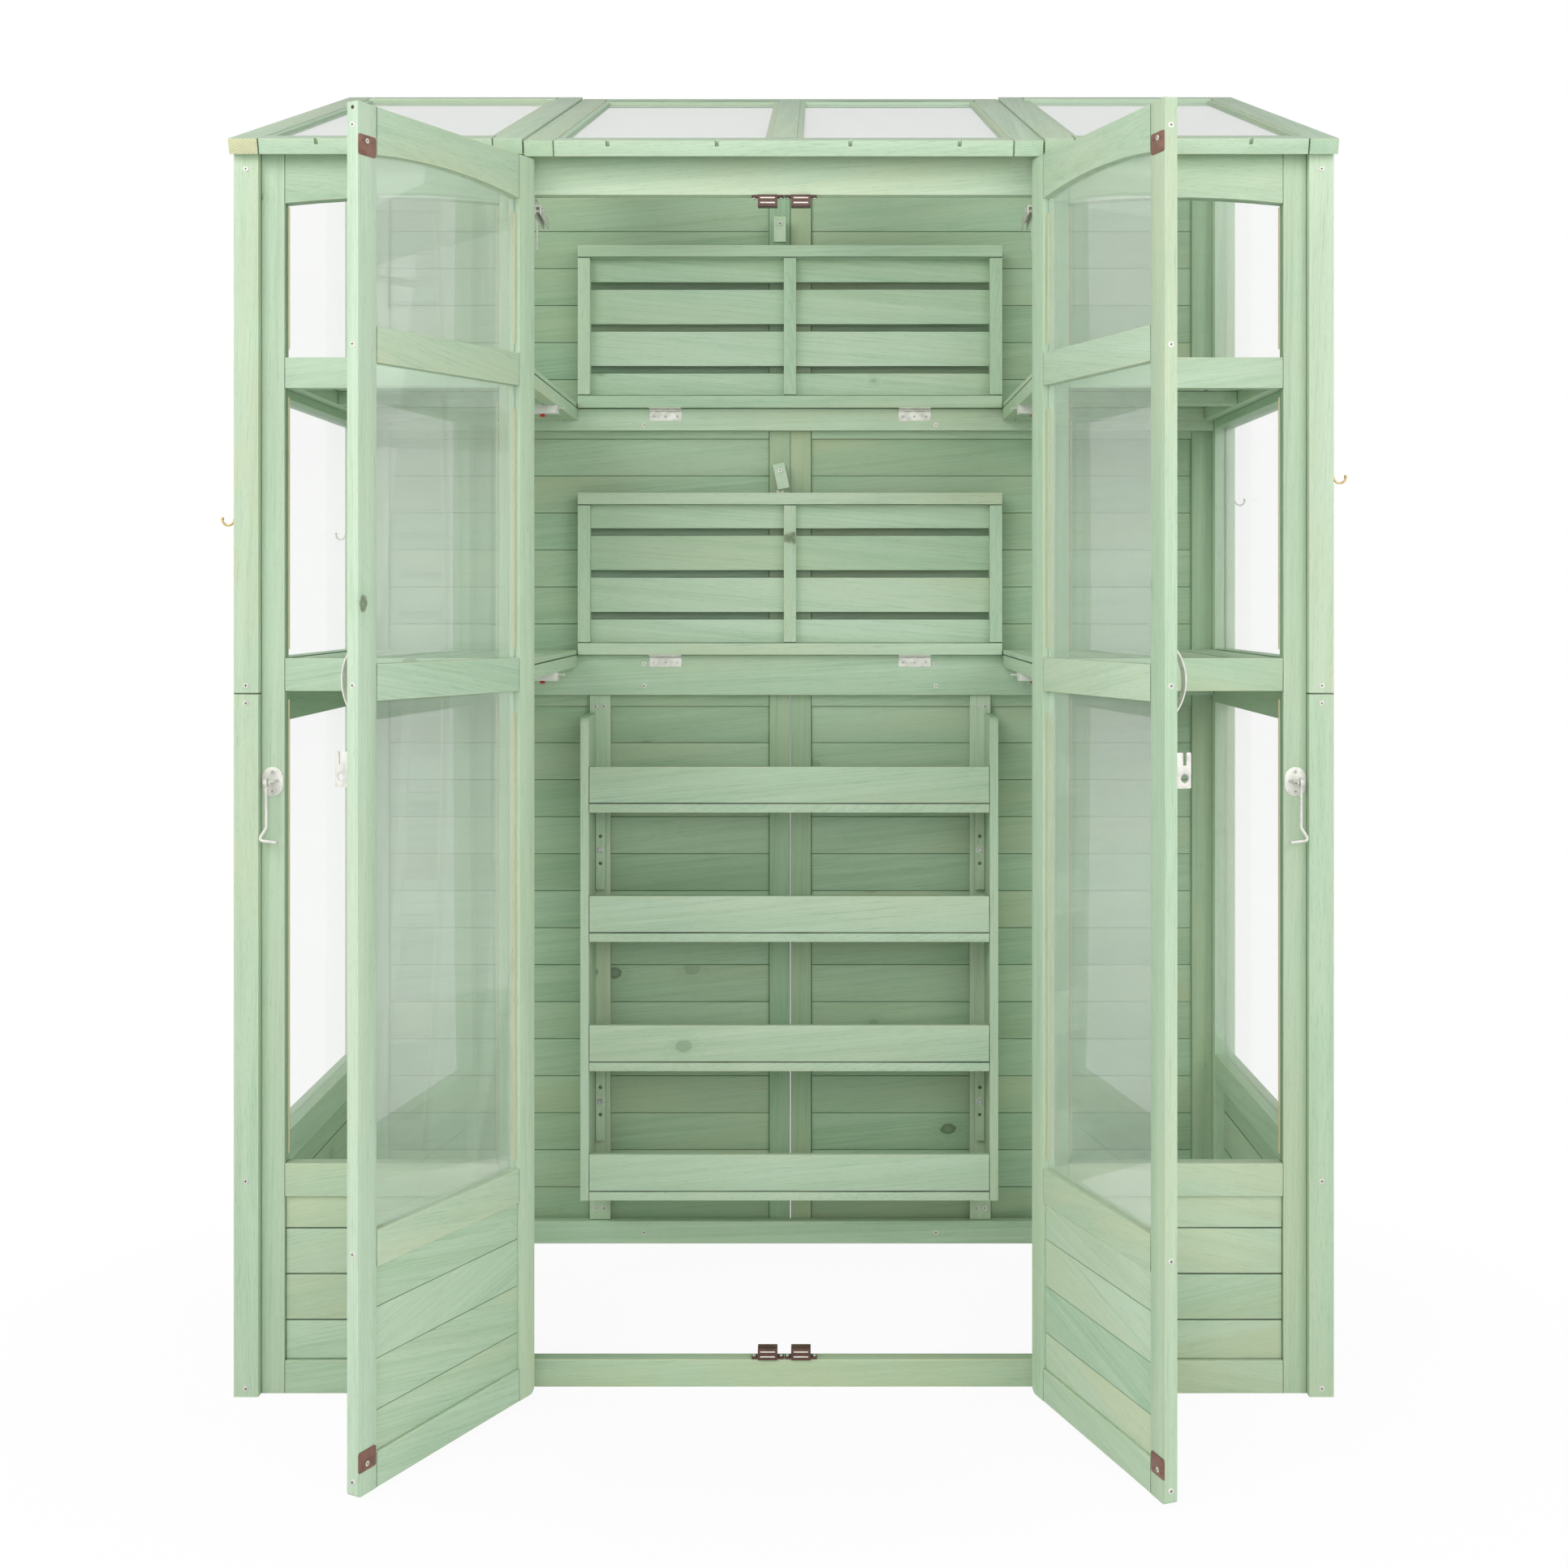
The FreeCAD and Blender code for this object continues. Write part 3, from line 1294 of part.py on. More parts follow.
def prop_stays():
    brackets = []
    for word, side in SIDES.items():
        name = "stay_%s" % word
        inner = "stay_at - stay_wide / 2"
        outer = "stay_at + stay_wide / 2"
        plate_x = across(side, outer + " + 0.4", outer + " + 0.4 + stay_wall")
        plate = stick(name + "_ear", plate_x,
                      ("stay_pivot_y - 9", "stay_pivot_y + 9"),
                      ("stay_pivot_z - 8", "header_low"))
        drop = stick(name + "_drop", plate_x,
                     ("front_back_y + panel_thick + 14", "front_back_y + panel_thick + 24"),
                     ("stay_pivot_z - stay_drop", "header_low"))
        flange = stick(name + "_flange", across(side, outer + " + 0.4", outer + " + 14"),
                       ("front_back_y + 1", "front_back_y + panel_thick + 24"),
                       ("header_low - stay_wall", "header_low"))
        start = across(side, inner + " - 1.5", outer + " + 0.4")[0]
        pin = disc(name + "_pin", (start, "stay_pivot_y", "stay_pivot_z"), "+x",
                   "stay_pin", "stay_wide + 1.9")
        head_x = across(side, inner + " - 2.5", inner + " - 1.5")[0]
        head = disc(name + "_pin_head", (head_x, "stay_pivot_y", "stay_pivot_z"), "+x",
                    "stay_pin + 1.6", "1")
        brackets.append(fuse(name + "_bracket", [plate, drop, flange, pin, head]))

        arm_x = ("-stay_wide / 2", "stay_wide / 2")
        bar = stick(name + "_bar", arm_x, ("-8", "stay_long"), ("-stay_tall / 2", "stay_tall / 2"))
        hollow = stick(name + "_hollow",
                       ("-stay_wide / 2 + stay_wall", "stay_wide / 2 - stay_wall"),
                       ("-9", "stay_long + 1"), ("-stay_tall / 2 - 1", "stay_tall / 2 - stay_wall"))
        bore = disc(name + "_bore", ("-stay_wide", "0", "0"), "+x",
                    "stay_pin + pin_clear", "2 * stay_wide")
        arm = group("stay_arm_%s" % word,
                    [cut(name + "_arm", cut(name + "_channel", bar, hollow), bore)])
        turn = FreeCAD.Rotation(FreeCAD.Vector(-1, 0, 0), 1)
        arm.Placement = FreeCAD.Placement(FreeCAD.Vector(0, 0, 0), turn)
        arm.setExpression("Placement.Rotation.Angle", "sizes.stay_tilt")
        settle(arm, at_side(side, "stay_at"), "stay_pivot_y", "stay_pivot_z")
    group("stay_brackets", brackets)


# Screw heads on the faces that show

def screw_heads(extra):
    heads = list(extra)
    corner_heights = ("12", "294.6", "split_height - 13", "split_height + 11", "1674")
    for word, side in SIDES.items():
        middle = at_side(side, "half_width - side_thick / 2")
        for index, height in enumerate(corner_heights):
            heads.append(disc("corner_screw_%s_%d" % (word, index), (middle, "0", height), "-y",
                              "screw_head", "screw_proud"))
        spots = (("up", "cleat_face_y", "up_cleat_top - 28"),
                 ("low_a", "cleat_face_y", "low_cleat_top - 16"),
                 ("low_b", "cleat_face_y", "low_cleat_top - 53"),
                 ("foot", "cleat_face_y", "foot_rail_tall / 2"))
        for label, face, height in spots:
            heads.append(disc("cleat_screw_%s_%s" % (label, word),
                              (at_side(side, "flap_hinge_at + 36"), face, height), "-y",
                              "screw_head", "screw_proud"))
        strip = "rack_half - strip_inset - strip_wide / 2"
        for label, height in (("low", "foot_rail_tall + 20"),
                              ("high", "low_cleat_top - low_cleat_tall - 20")):
            for step, shift in (("a", "- 7"), ("b", "+ 7")):
                heads.append(disc("strip_screw_%s_%s_%s" % (label, step, word),
                                  (at_side(side, "(%s %s)" % (strip, shift)), "strip_face_y",
                                   height), "-y", "small_head", "screw_proud"))
    group("frame_screws", heads)


# Assembly

wall_panes = []
apron = []
for hand, sign in SIDES.items():
    side_wall(hand, sign)
    front_panel(hand, sign)
    apron += side_boards(hand, sign) + front_boards(hand, sign)
    wall_panes += side_panes(hand, sign) + front_panes(hand, sign)
group("apron_boards", apron)
group("wall_glazing", wall_panes)
cleats = back_wall()
beams()
roof()
for hand, sign in SIDES.items():
    door(hand, sign)
fixed_leaves()
vent_leaves()
side_shelves()
for level, cleat in FLAPS.items():
    flap(level, cleat)
button_screws = []
for level, angle in (("upper", "0"), ("lower", "low_button_tilt")):
    screw, packer = turn_button(level, FLAPS[level] + " + flap_tall", angle)
    button_screws.append(screw)
    cleats.append(packer)
group("wall_cleats", cleats)
housings = []
for level, cleat in FLAPS.items():
    for hand, sign in SIDES.items():
        housings.append(slide_bolt(hand, sign, level, cleat))
group("bolt_housings", housings)
rack()
group("hook_eyes", [eye_plate(hand, sign) for hand, sign in SIDES.items()])
for hand, sign in SIDES.items():
    cabin_hook(hand, sign)
cup_hooks()
prop_stays()
screw_heads(button_screws)

doc.recompute()

# Checks and export

for item in doc.Objects:
    if "Invalid" in item.State or "Error" in item.State:
        raise RuntimeError("failed: %s %s" % (item.Label, item.State))
for label, item in nodes.items():
    if item.Shape.isNull() or not item.Shape.isValid():
        raise RuntimeError("bad shape: %s" % label)

os.makedirs("parts", exist_ok=True)
for label, item in nodes.items():
    item.Shape.exportStep("parts/%s.step" % label)
    print("%-24s %3d solids  %9.1f cm3" % (label, len(item.Shape.Solids), item.Shape.Volume / 1000))
print(len(nodes), "nodes")
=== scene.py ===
"""Looks of a wooden mini greenhouse: stained softwood frames and boards, clear sheets, small fittings."""

import json
import math
import random

import bmesh
import bpy
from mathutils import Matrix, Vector
from mathutils.bvhtree import BVHTree


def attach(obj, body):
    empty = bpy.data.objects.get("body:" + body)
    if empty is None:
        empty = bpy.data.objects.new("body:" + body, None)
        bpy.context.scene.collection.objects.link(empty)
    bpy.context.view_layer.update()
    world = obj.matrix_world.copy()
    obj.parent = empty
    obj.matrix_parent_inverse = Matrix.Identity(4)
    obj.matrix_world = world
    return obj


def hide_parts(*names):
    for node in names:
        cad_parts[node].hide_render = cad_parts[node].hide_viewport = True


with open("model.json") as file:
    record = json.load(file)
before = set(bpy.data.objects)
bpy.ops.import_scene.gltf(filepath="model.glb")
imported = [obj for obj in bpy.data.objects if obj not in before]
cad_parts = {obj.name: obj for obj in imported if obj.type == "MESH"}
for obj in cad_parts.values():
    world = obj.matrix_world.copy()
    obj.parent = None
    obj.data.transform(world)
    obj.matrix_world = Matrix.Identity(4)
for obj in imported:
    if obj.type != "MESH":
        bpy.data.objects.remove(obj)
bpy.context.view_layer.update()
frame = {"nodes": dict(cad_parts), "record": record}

MM = 0.001
SIDES = ("left", "right")
FRONT = (0, -1, 0)
ACROSS = Vector((1, 0, 0))


def stain(red, green, blue):
    """A colour read from a paint chart, 0 to 255 a channel, as the shader wants it."""
    chart = []
    for level in (red, green, blue):
        share = level / 255
        chart.append(share / 12.92 if share <= 0.04045 else ((share + 0.055) / 1.055) ** 2.4)
    return (*chart, 1.0)


# Node trees


class Bench:
    """Places nodes in one tree and wires them. Inputs go by name or by number."""

    def __init__(self, tree):
        self.tree = tree
        self.column = 0

    def put(self, kind, inputs=None, **settings):
        node = self.tree.nodes.new(kind)
        for name, value in settings.items():
            setattr(node, name, value)
        self.fill(node, inputs or {})
        self.column += 1
        node.location = ((self.column % 12) * 190, -(self.column // 12) * 260)
        return node

    def fill(self, node, inputs):
        for name, value in inputs.items():
            self.feed(node.inputs[name], value)

    def feed(self, socket, value):
        if isinstance(value, bpy.types.NodeSocket):
            self.tree.links.new(value, socket)
        else:
            socket.default_value = value

    def math(self, operation, *values, clamp=False):
        node = self.put("ShaderNodeMath", dict(enumerate(values)), operation=operation, use_clamp=clamp)
        return node.outputs[0]

    def times(self, first, second, clamp=False):
        return self.math("MULTIPLY", first, second, clamp=clamp)

    def less(self, first, second):
        return self.math("SUBTRACT", first, second)

    def plus(self, base, value, share, clamp=False):
        """The base with a share of another value added."""
        return self.math("MULTIPLY_ADD", value, share, base, clamp=clamp)

    def ramp(self, value, low, high, start=0.0, end=1.0):
        """Runs from start to end as the value goes from low to high, eased at both ends."""
        limits = {"Value": value, "From Min": low, "From Max": high, "To Min": start, "To Max": end}
        return self.put("ShaderNodeMapRange", limits, interpolation_type="SMOOTHSTEP").outputs["Result"]

    def blend(self, share, first, second):
        node = self.put("ShaderNodeMix", {0: share, 6: first, 7: second}, data_type="RGBA")
        return node.outputs[2]

    def vector(self, x, y, z):
        return self.put("ShaderNodeCombineXYZ", {"X": x, "Y": y, "Z": z}).outputs[0]

    def vectors(self, operation, first, second):
        return self.put("ShaderNodeVectorMath", {0: first, 1: second}, operation=operation).outputs["Vector"]

    def length(self, vector):
        return self.put("ShaderNodeVectorMath", {0: vector}, operation="LENGTH").outputs["Value"]

    def noise(self, place, sizes, detail=2.0, rough=0.5):
        """Noise with its own number of waves a metre each way."""
        scaled = self.vectors("MULTIPLY", place, sizes)
        inputs = {"Vector": scaled, "Scale": 1.0, "Detail": detail, "Roughness": rough}
        return self.put("ShaderNodeTexNoise", inputs, noise_dimensions="3D").outputs["Fac"]

    def seen(self):
        """1 for what the camera sees straight, mirrored or through a sheet, 0 for other light."""
        paths = self.put("ShaderNodeLightPath").outputs
        straight = self.math("MAXIMUM", paths["Is Camera Ray"], paths["Is Glossy Ray"])
        return self.math("MAXIMUM", straight, paths["Is Transmission Ray"])

    def keep(self, geometry, name, value, domain, kind="FLOAT_VECTOR"):
        """Stores a value on the geometry under a name."""
        inputs = {"Geometry": geometry, "Name": name, "Value": value}
        node = self.put("GeometryNodeStoreNamedAttribute", inputs, data_type=kind, domain=domain)
        return node.outputs["Geometry"]

    def recall(self, name, kind="FLOAT_VECTOR"):
        node = self.put("GeometryNodeInputNamedAttribute", {"Name": name}, data_type=kind)
        return node.outputs["Attribute"]


def add_sockets(tree, way, rows):
    """Sockets on a group, each a name, a kind and, for some, a starting value."""
    for name, kind, *start in rows:
        socket = tree.interface.new_socket(name, in_out=way, socket_type="NodeSocket" + kind)
        if start:
            socket.default_value = start[0]


def new_group(name, inputs):
    """An empty shader group that gives a colour, a roughness and a height."""
    group = bpy.data.node_groups.new(name, "ShaderNodeTree")
    add_sockets(group, "INPUT", inputs)
    add_sockets(group, "OUTPUT", [("Color", "Color"), ("Roughness", "Float"), ("Height", "Float")])
    bench = Bench(group)
    return bench, bench.put("NodeGroupInput").outputs


def close_group(bench, colour, roughness, height):
    bench.put("NodeGroupOutput", {"Color": colour, "Roughness": roughness, "Height": height})
    return bench.tree


def softwood_group():
    """Grain, rings, fibres, knots and worn edges of planed softwood under a thin stain, with painted shade
    along edges in a joint and a painted highlight on free edges.

    Grain is a place in the stick: along it, across it and through it, in metres. Stick holds the end
    grain mask, the tone and the warmth. Edge is 0.5 on an edge in a joint and 1 on a free edge.
    """
    rings_a_metre = 290.0
    bench, given = new_group(
        "stained_softwood",
        [
            ("Grain", "Vector"),
            ("Stick", "Color", (0, 0.5, 0.5, 0)),
            ("Edge", "Float", 0.0),
            ("Light stain", "Color", stain(199, 220, 197)),
            ("Deep stain", "Color", stain(144, 183, 147)),
            ("Warm stain", "Color", stain(202, 212, 178)),
            ("Knot wood", "Color", stain(118, 142, 112)),
            # Pale colour on free edges: bare wood together with a painted highlight
            ("Bare edge", "Color", stain(222, 222, 190)),
            # Dark colour on edges in a joint: painted shade
            ("Joint stain", "Color", stain(58, 76, 54)),
            ("Knots", "Float", 0.42),
            ("Rings", "Float", 0.2),
        ],
    )
    times, less, plus = bench.times, bench.less, bench.plus
    ramp, blend, noise = bench.ramp, bench.blend, bench.noise
    grain, edge = given["Grain"], given["Edge"]
    end, tone, warmth = bench.put("ShaderNodeSeparateColor", {"Color": given["Stick"]}).outputs
    across, deep = bench.put("ShaderNodeSeparateXYZ", {"Vector": grain}).outputs[1:]

    # Knots sit in some of the cells, and the cell's colour picks which, how wide and how dark
    cells = bench.put(
        "ShaderNodeTexVoronoi",
        {"Vector": bench.vectors("MULTIPLY", grain, (0.72, 1.0, 0.12)), "Scale": 8.5},
        voronoi_dimensions="3D",
        feature="F1",
    ).outputs
    chance, width, darkness = bench.put("ShaderNodeSeparateColor", {"Color": cells["Color"]}).outputs
    picked = bench.math("LESS_THAN", chance, given["Knots"])
    reach = bench.math("DIVIDE", cells["Distance"], plus(0.03, width, 0.055))
    ragged = noise(grain, (160, 160, 160))
    reach = plus(reach, less(ragged, 0.5), 0.5)
    knot = times(ramp(reach, 1.1, 0.85), picked)
    off_rim = bench.math("ABSOLUTE", less(reach, 1.0))
    rim = times(ramp(off_rim, 0.28, 0.05), picked)
    push = times(ramp(reach, 3.6, 0.8), picked)

    # Year rings about the log's heart, pushed aside by the knots
    wave = noise(grain, (1.3, 5, 5), detail=1.0)
    shifted = plus(across, less(wave, 0.5), 0.005)
    log = bench.math("SQRT", bench.math("ADD", times(shifted, shifted), times(deep, deep)))
    log = plus(log, push, 0.0045)
    year = bench.math("FRACT", times(log, rings_a_metre))
    late = times(bench.math("POWER", year, 3.0), ramp(year, 1.0, 0.93))

    fibre = noise(grain, (14, 620, 620), detail=4.0, rough=0.7)
    pore = noise(grain, (60, 900, 900), rough=0.6)
    streak = noise(grain, (1.6, 70, 70), detail=3.0, rough=0.6)
    patch = noise(grain, (1.1, 7, 7))
    cloud = noise(grain, (5, 22, 22))

    # How deep the stain went, then its warm patches and dark threads
    depth = times(late, given["Rings"])
    depth = plus(depth, ramp(streak, 0.3, 0.75), 0.3)
    depth = plus(depth, ramp(fibre, 0.35, 0.75), 0.2)
    depth = plus(depth, less(tone, 0.5), 0.42)
    depth = plus(depth, ramp(push, 0.1, 1.0), 0.16, clamp=True)
    colour = blend(depth, given["Light stain"], given["Deep stain"])
    warm = plus(times(warmth, 0.35), ramp(patch, 0.44, 0.7), 0.45)
    warm = times(warm, ramp(cloud, 0.25, 0.6, 0.35, 1.0), clamp=True)
    colour = blend(warm, colour, given["Warm stain"])
    thread = times(ramp(fibre, 0.56, 0.74), 0.3)
    thread = plus(thread, ramp(pore, 0.56, 0.72), 0.2, clamp=True)
    colour = blend(thread, colour, stain(112, 146, 112))

    # Knots with their own rings and a dark rim
    core = bench.math("FRACT", times(reach, 2.6))
    knot_colour = blend(times(core, 0.4), given["Knot wood"], stain(84, 104, 78))
    knot_share = times(knot, ramp(darkness, 0.0, 1.0, 0.35, 0.8))
    colour = blend(knot_share, colour, knot_colour)
    rim_share = times(rim, ramp(darkness, 0.2, 1.0, 0.1, 0.6))
    colour = blend(rim_share, colour, stain(88, 90, 62))

    # Free edges rubbed bare and lightened as a painted highlight, edges in a joint darkened as painted
    # shade, end grain deep
    free = bench.math("GREATER_THAN", edge, 0.75)
    bare_lit = times(free, ramp(streak, 0.42, 0.62, 0.1, 0.55))
    colour = blend(bare_lit, colour, given["Bare edge"])
    joint = less(bench.math("GREATER_THAN", edge, 0.25), free)
    joint = times(joint, ramp(cloud, 0.3, 0.7, 0.95, 0.6))
    colour = blend(joint, colour, given["Joint stain"])
    end_depth = times(end, ramp(year, 0.0, 1.0, 0.12, 0.5))
    colour = blend(end_depth, colour, given["Deep stain"])

    rough = plus(plus(0.46, fibre, 0.22), end, 0.12)
    rough = plus(rough, knot, -0.12, clamp=True)
    height = plus(times(late, 0.3), fibre, -0.5)
    height = plus(plus(height, knot, 0.25), rim, -0.5)
    return close_group(bench, colour, rough, height)


def scuff_group():
    """Fine brushing, spots and rubbed places on small fittings."""
    bench, given = new_group(
        "fitting_scuffs",
        [
            ("Vector", "Vector"),
            ("Clean", "Color", stain(190, 190, 186)),
            ("Dull", "Color", stain(140, 140, 138)),
            ("Roughness", "Float", 0.35),
            ("Spread", "Float", 0.2),
        ],
    )
    place = given["Vector"]
    cloud = bench.noise(place, (70, 70, 70), detail=4.0, rough=0.6)
    brush = bench.noise(place, (300, 2600, 900))
    speck = bench.noise(place, (1500, 1500, 1500), detail=1.0)
    brushed = bench.times(bench.ramp(brush, 0.4, 0.7), 0.3)
    dull = bench.plus(brushed, bench.ramp(cloud, 0.4, 0.7), 0.7, clamp=True)
    colour = bench.blend(dull, given["Clean"], given["Dull"])
    rough = bench.plus(given["Roughness"], given["Spread"], dull, clamp=True)
    height = bench.plus(bench.times(brush, 0.6), speck, 0.4)
    return close_group(bench, colour, rough, height)


# Finishes

SOFTWOOD = softwood_group()
SCUFFS = scuff_group()
FINISHES = {}


def new_finish(name):
    """A material that holds only its surface and its output."""
    finish = bpy.data.materials.new(name)
    finish.use_nodes = True
    finish.node_tree.nodes.clear()
    FINISHES[name] = finish
    bench = Bench(finish.node_tree)
    surface = bench.put("ShaderNodeBsdfPrincipled")
    output = bench.put("ShaderNodeOutputMaterial", {"Surface": surface.outputs["BSDF"]})
    return bench, surface, output


def lay_on(bench, surface, group, bump, relief_depth):
    """Feeds a group's colour, roughness and relief to the surface."""
    colour, roughness, height = group.outputs
    relief = bench.put("ShaderNodeBump", {"Strength": bump, "Distance": relief_depth, "Height": height})
    bench.fill(surface, {"Base Color": colour, "Roughness": roughness, "Normal": relief.outputs["Normal"]})


def wood_finish(name, values):
    """One kind of stained wood; values are the softwood group's own inputs."""
    bench, surface, output = new_finish(name)
    grain = bench.put("ShaderNodeAttribute", attribute_name="grain").outputs["Vector"]
    stick = bench.put("ShaderNodeAttribute", attribute_name="stick").outputs
    inputs = {"Grain": grain, "Stick": stick["Color"], "Edge": stick["Alpha"], **values}
    group = bench.put("ShaderNodeGroup", inputs, node_tree=SOFTWOOD)
    lay_on(bench, surface, group, 0.22, 0.8 * MM)
    surface.inputs["Specular IOR Level"].default_value = 0.32


def fitting_finish(name, clean, dull, roughness, spread, metallic=0.0, bump=0.05):
    """A metal or plastic fitting with its own colours and wear."""
    bench, surface, output = new_finish(name)
    place = bench.put("ShaderNodeTexCoord").outputs["Object"]
    inputs = {
        "Vector": place,
        "Clean": stain(*clean),
        "Dull": stain(*dull),
        "Roughness": roughness,
        "Spread": spread,
    }
    group = bench.put("ShaderNodeGroup", inputs, node_tree=SCUFFS)
    lay_on(bench, surface, group, bump, 0.3 * MM)
    surface.inputs["Metallic"].default_value = metallic


def sheet_finish(name, clear_share, body, tint):
    """Clear sheet with faint smears, a milky share and a see-through body; lamps shine through it."""
    bench, surface, output = new_finish(name)
    place = bench.put("ShaderNodeTexCoord").outputs["Object"]
    smear = bench.noise(place, (9, 9, 4), detail=4.0, rough=0.6)
    ripple = bench.noise(place, (3, 3, 3), detail=1.0)
    relief = bench.put("ShaderNodeBump", {"Strength": 0.02, "Distance": 2 * MM, "Height": ripple})
    looks = {
        "Base Color": stain(*tint),
        "Roughness": bench.ramp(smear, 0.35, 0.75, 0.0, 0.012),
        "Transmission Weight": clear_share,
        "Alpha": body,
        "IOR": 1.24,
        "Normal": relief.outputs["Normal"],
    }
    bench.fill(surface, looks)
    clear = bench.put("ShaderNodeBsdfTransparent", {"Color": stain(244, 247, 245)})
    paths = bench.put("ShaderNodeLightPath").outputs
    passing = bench.math("MAXIMUM", paths["Is Shadow Ray"], paths["Is Diffuse Ray"])
    shaders = {"Fac": passing, 1: surface.outputs["BSDF"], 2: clear.outputs["BSDF"]}
    mixed = bench.put("ShaderNodeMixShader", shaders)
    bench.feed(output.inputs["Surface"], mixed.outputs[0])


def stains(light, deep, warm):
    return {"Light stain": stain(*light), "Deep stain": stain(*deep), "Warm stain": stain(*warm)}


FRONT_STAINS = stains((189, 211, 186), (135, 174, 137), (194, 204, 170))
# A darker copy of the stain for the back wall and threshold: painted shade where less light reaches
BACK_SHADED_STAINS = stains((178, 203, 175), (124, 163, 127), (184, 194, 158))
RAW_END = stains((222, 222, 188), (184, 190, 142), (224, 214, 172))
RAW_EDGE = stains((206, 200, 162), (172, 158, 120), (208, 190, 152))

wood_finish("frame_wood", {})
# The joint colour is painted shade along the joints
wood_finish("board_wood", {"Knots": 0.5, "Rings": 0.24, "Joint stain": stain(104, 132, 96)})
wood_finish("inside_wood", {"Knots": 0.36, "Rings": 0.22})
wood_finish("front_wood", {**FRONT_STAINS, "Knots": 0.36})
wood_finish("back_shaded_wood", {**BACK_SHADED_STAINS, "Knots": 0.5, "Rings": 0.2, "Joint stain": stain(76, 102, 72)})
wood_finish("raw_end_wood", {**RAW_END, "Rings": 0.8})
wood_finish("raw_edge_wood", {**RAW_EDGE, "Rings": 0.3})
fitting_finish("zinc_steel", (226, 225, 217), (196, 195, 187), 0.42, 0.2, metallic=0.25)
# Dark steel for the faces inside the screw slots: painted shade
fitting_finish("slot_shade_steel", (84, 96, 88), (58, 68, 62), 0.5, 0.2)
fitting_finish("bright_steel", (205, 208, 210), (150, 156, 158), 0.22, 0.2, metallic=0.9)
fitting_finish("cream_steel", (226, 222, 204), (206, 200, 176), 0.4, 0.2, metallic=0.2)
fitting_finish("hole_shade", (74, 56, 40), (48, 38, 28), 0.8, 0.1)
fitting_finish("yellow_metal", (206, 184, 128), (150, 126, 82), 0.3, 0.25, metallic=0.85)
fitting_finish("bronzed_steel", (134, 94, 80), (108, 74, 62), 0.45, 0.15, metallic=0.2)
fitting_finish("brown_plastic", (88, 54, 44), (62, 40, 34), 0.4, 0.2, bump=0.1)
fitting_finish("white_plastic", (228, 228, 222), (208, 208, 200), 0.4, 0.2)
fitting_finish("red_plastic", (214, 48, 34), (182, 36, 28), 0.34, 0.15)
sheet_finish("glazing", 1.0, 0.09, (254, 255, 254))
sheet_finish("hazy_glazing", 0.72, 0.42, (236, 244, 238))
sheet_finish("milky_glazing", 0.5, 0.9, (250, 252, 250))


# Geometry Nodes


def new_recipe(name, inputs):
    """A Geometry Nodes tree with a guide mesh and named sizes in and a finished mesh out."""
    tree = bpy.data.node_groups.new(name, "GeometryNodeTree")
    add_sockets(tree, "INPUT", [("Guide", "Geometry"), *inputs])
    add_sockets(tree, "OUTPUT", [("Mesh", "Geometry")])
    bench = Bench(tree)
    return bench, bench.put("NodeGroupInput").outputs


def facing_turn(bench):
    """Turns an instance's z axis to the guide point's facing and spins it by the point's turn."""
    aligned = bench.put("FunctionNodeAlignRotationToVector", {"Vector": bench.recall("facing")}, axis="Z")
    axis_angle = {"Axis": (0, 0, 1), "Angle": bench.recall("turn", "FLOAT")}
    spin = bench.put("FunctionNodeAxisAngleToRotation", axis_angle)
    turns = {"Rotation": aligned.outputs["Rotation"], "Rotate By": spin.outputs["Rotation"]}
    return bench.put("FunctionNodeRotateRotation", turns, rotation_space="LOCAL").outputs["Rotation"]


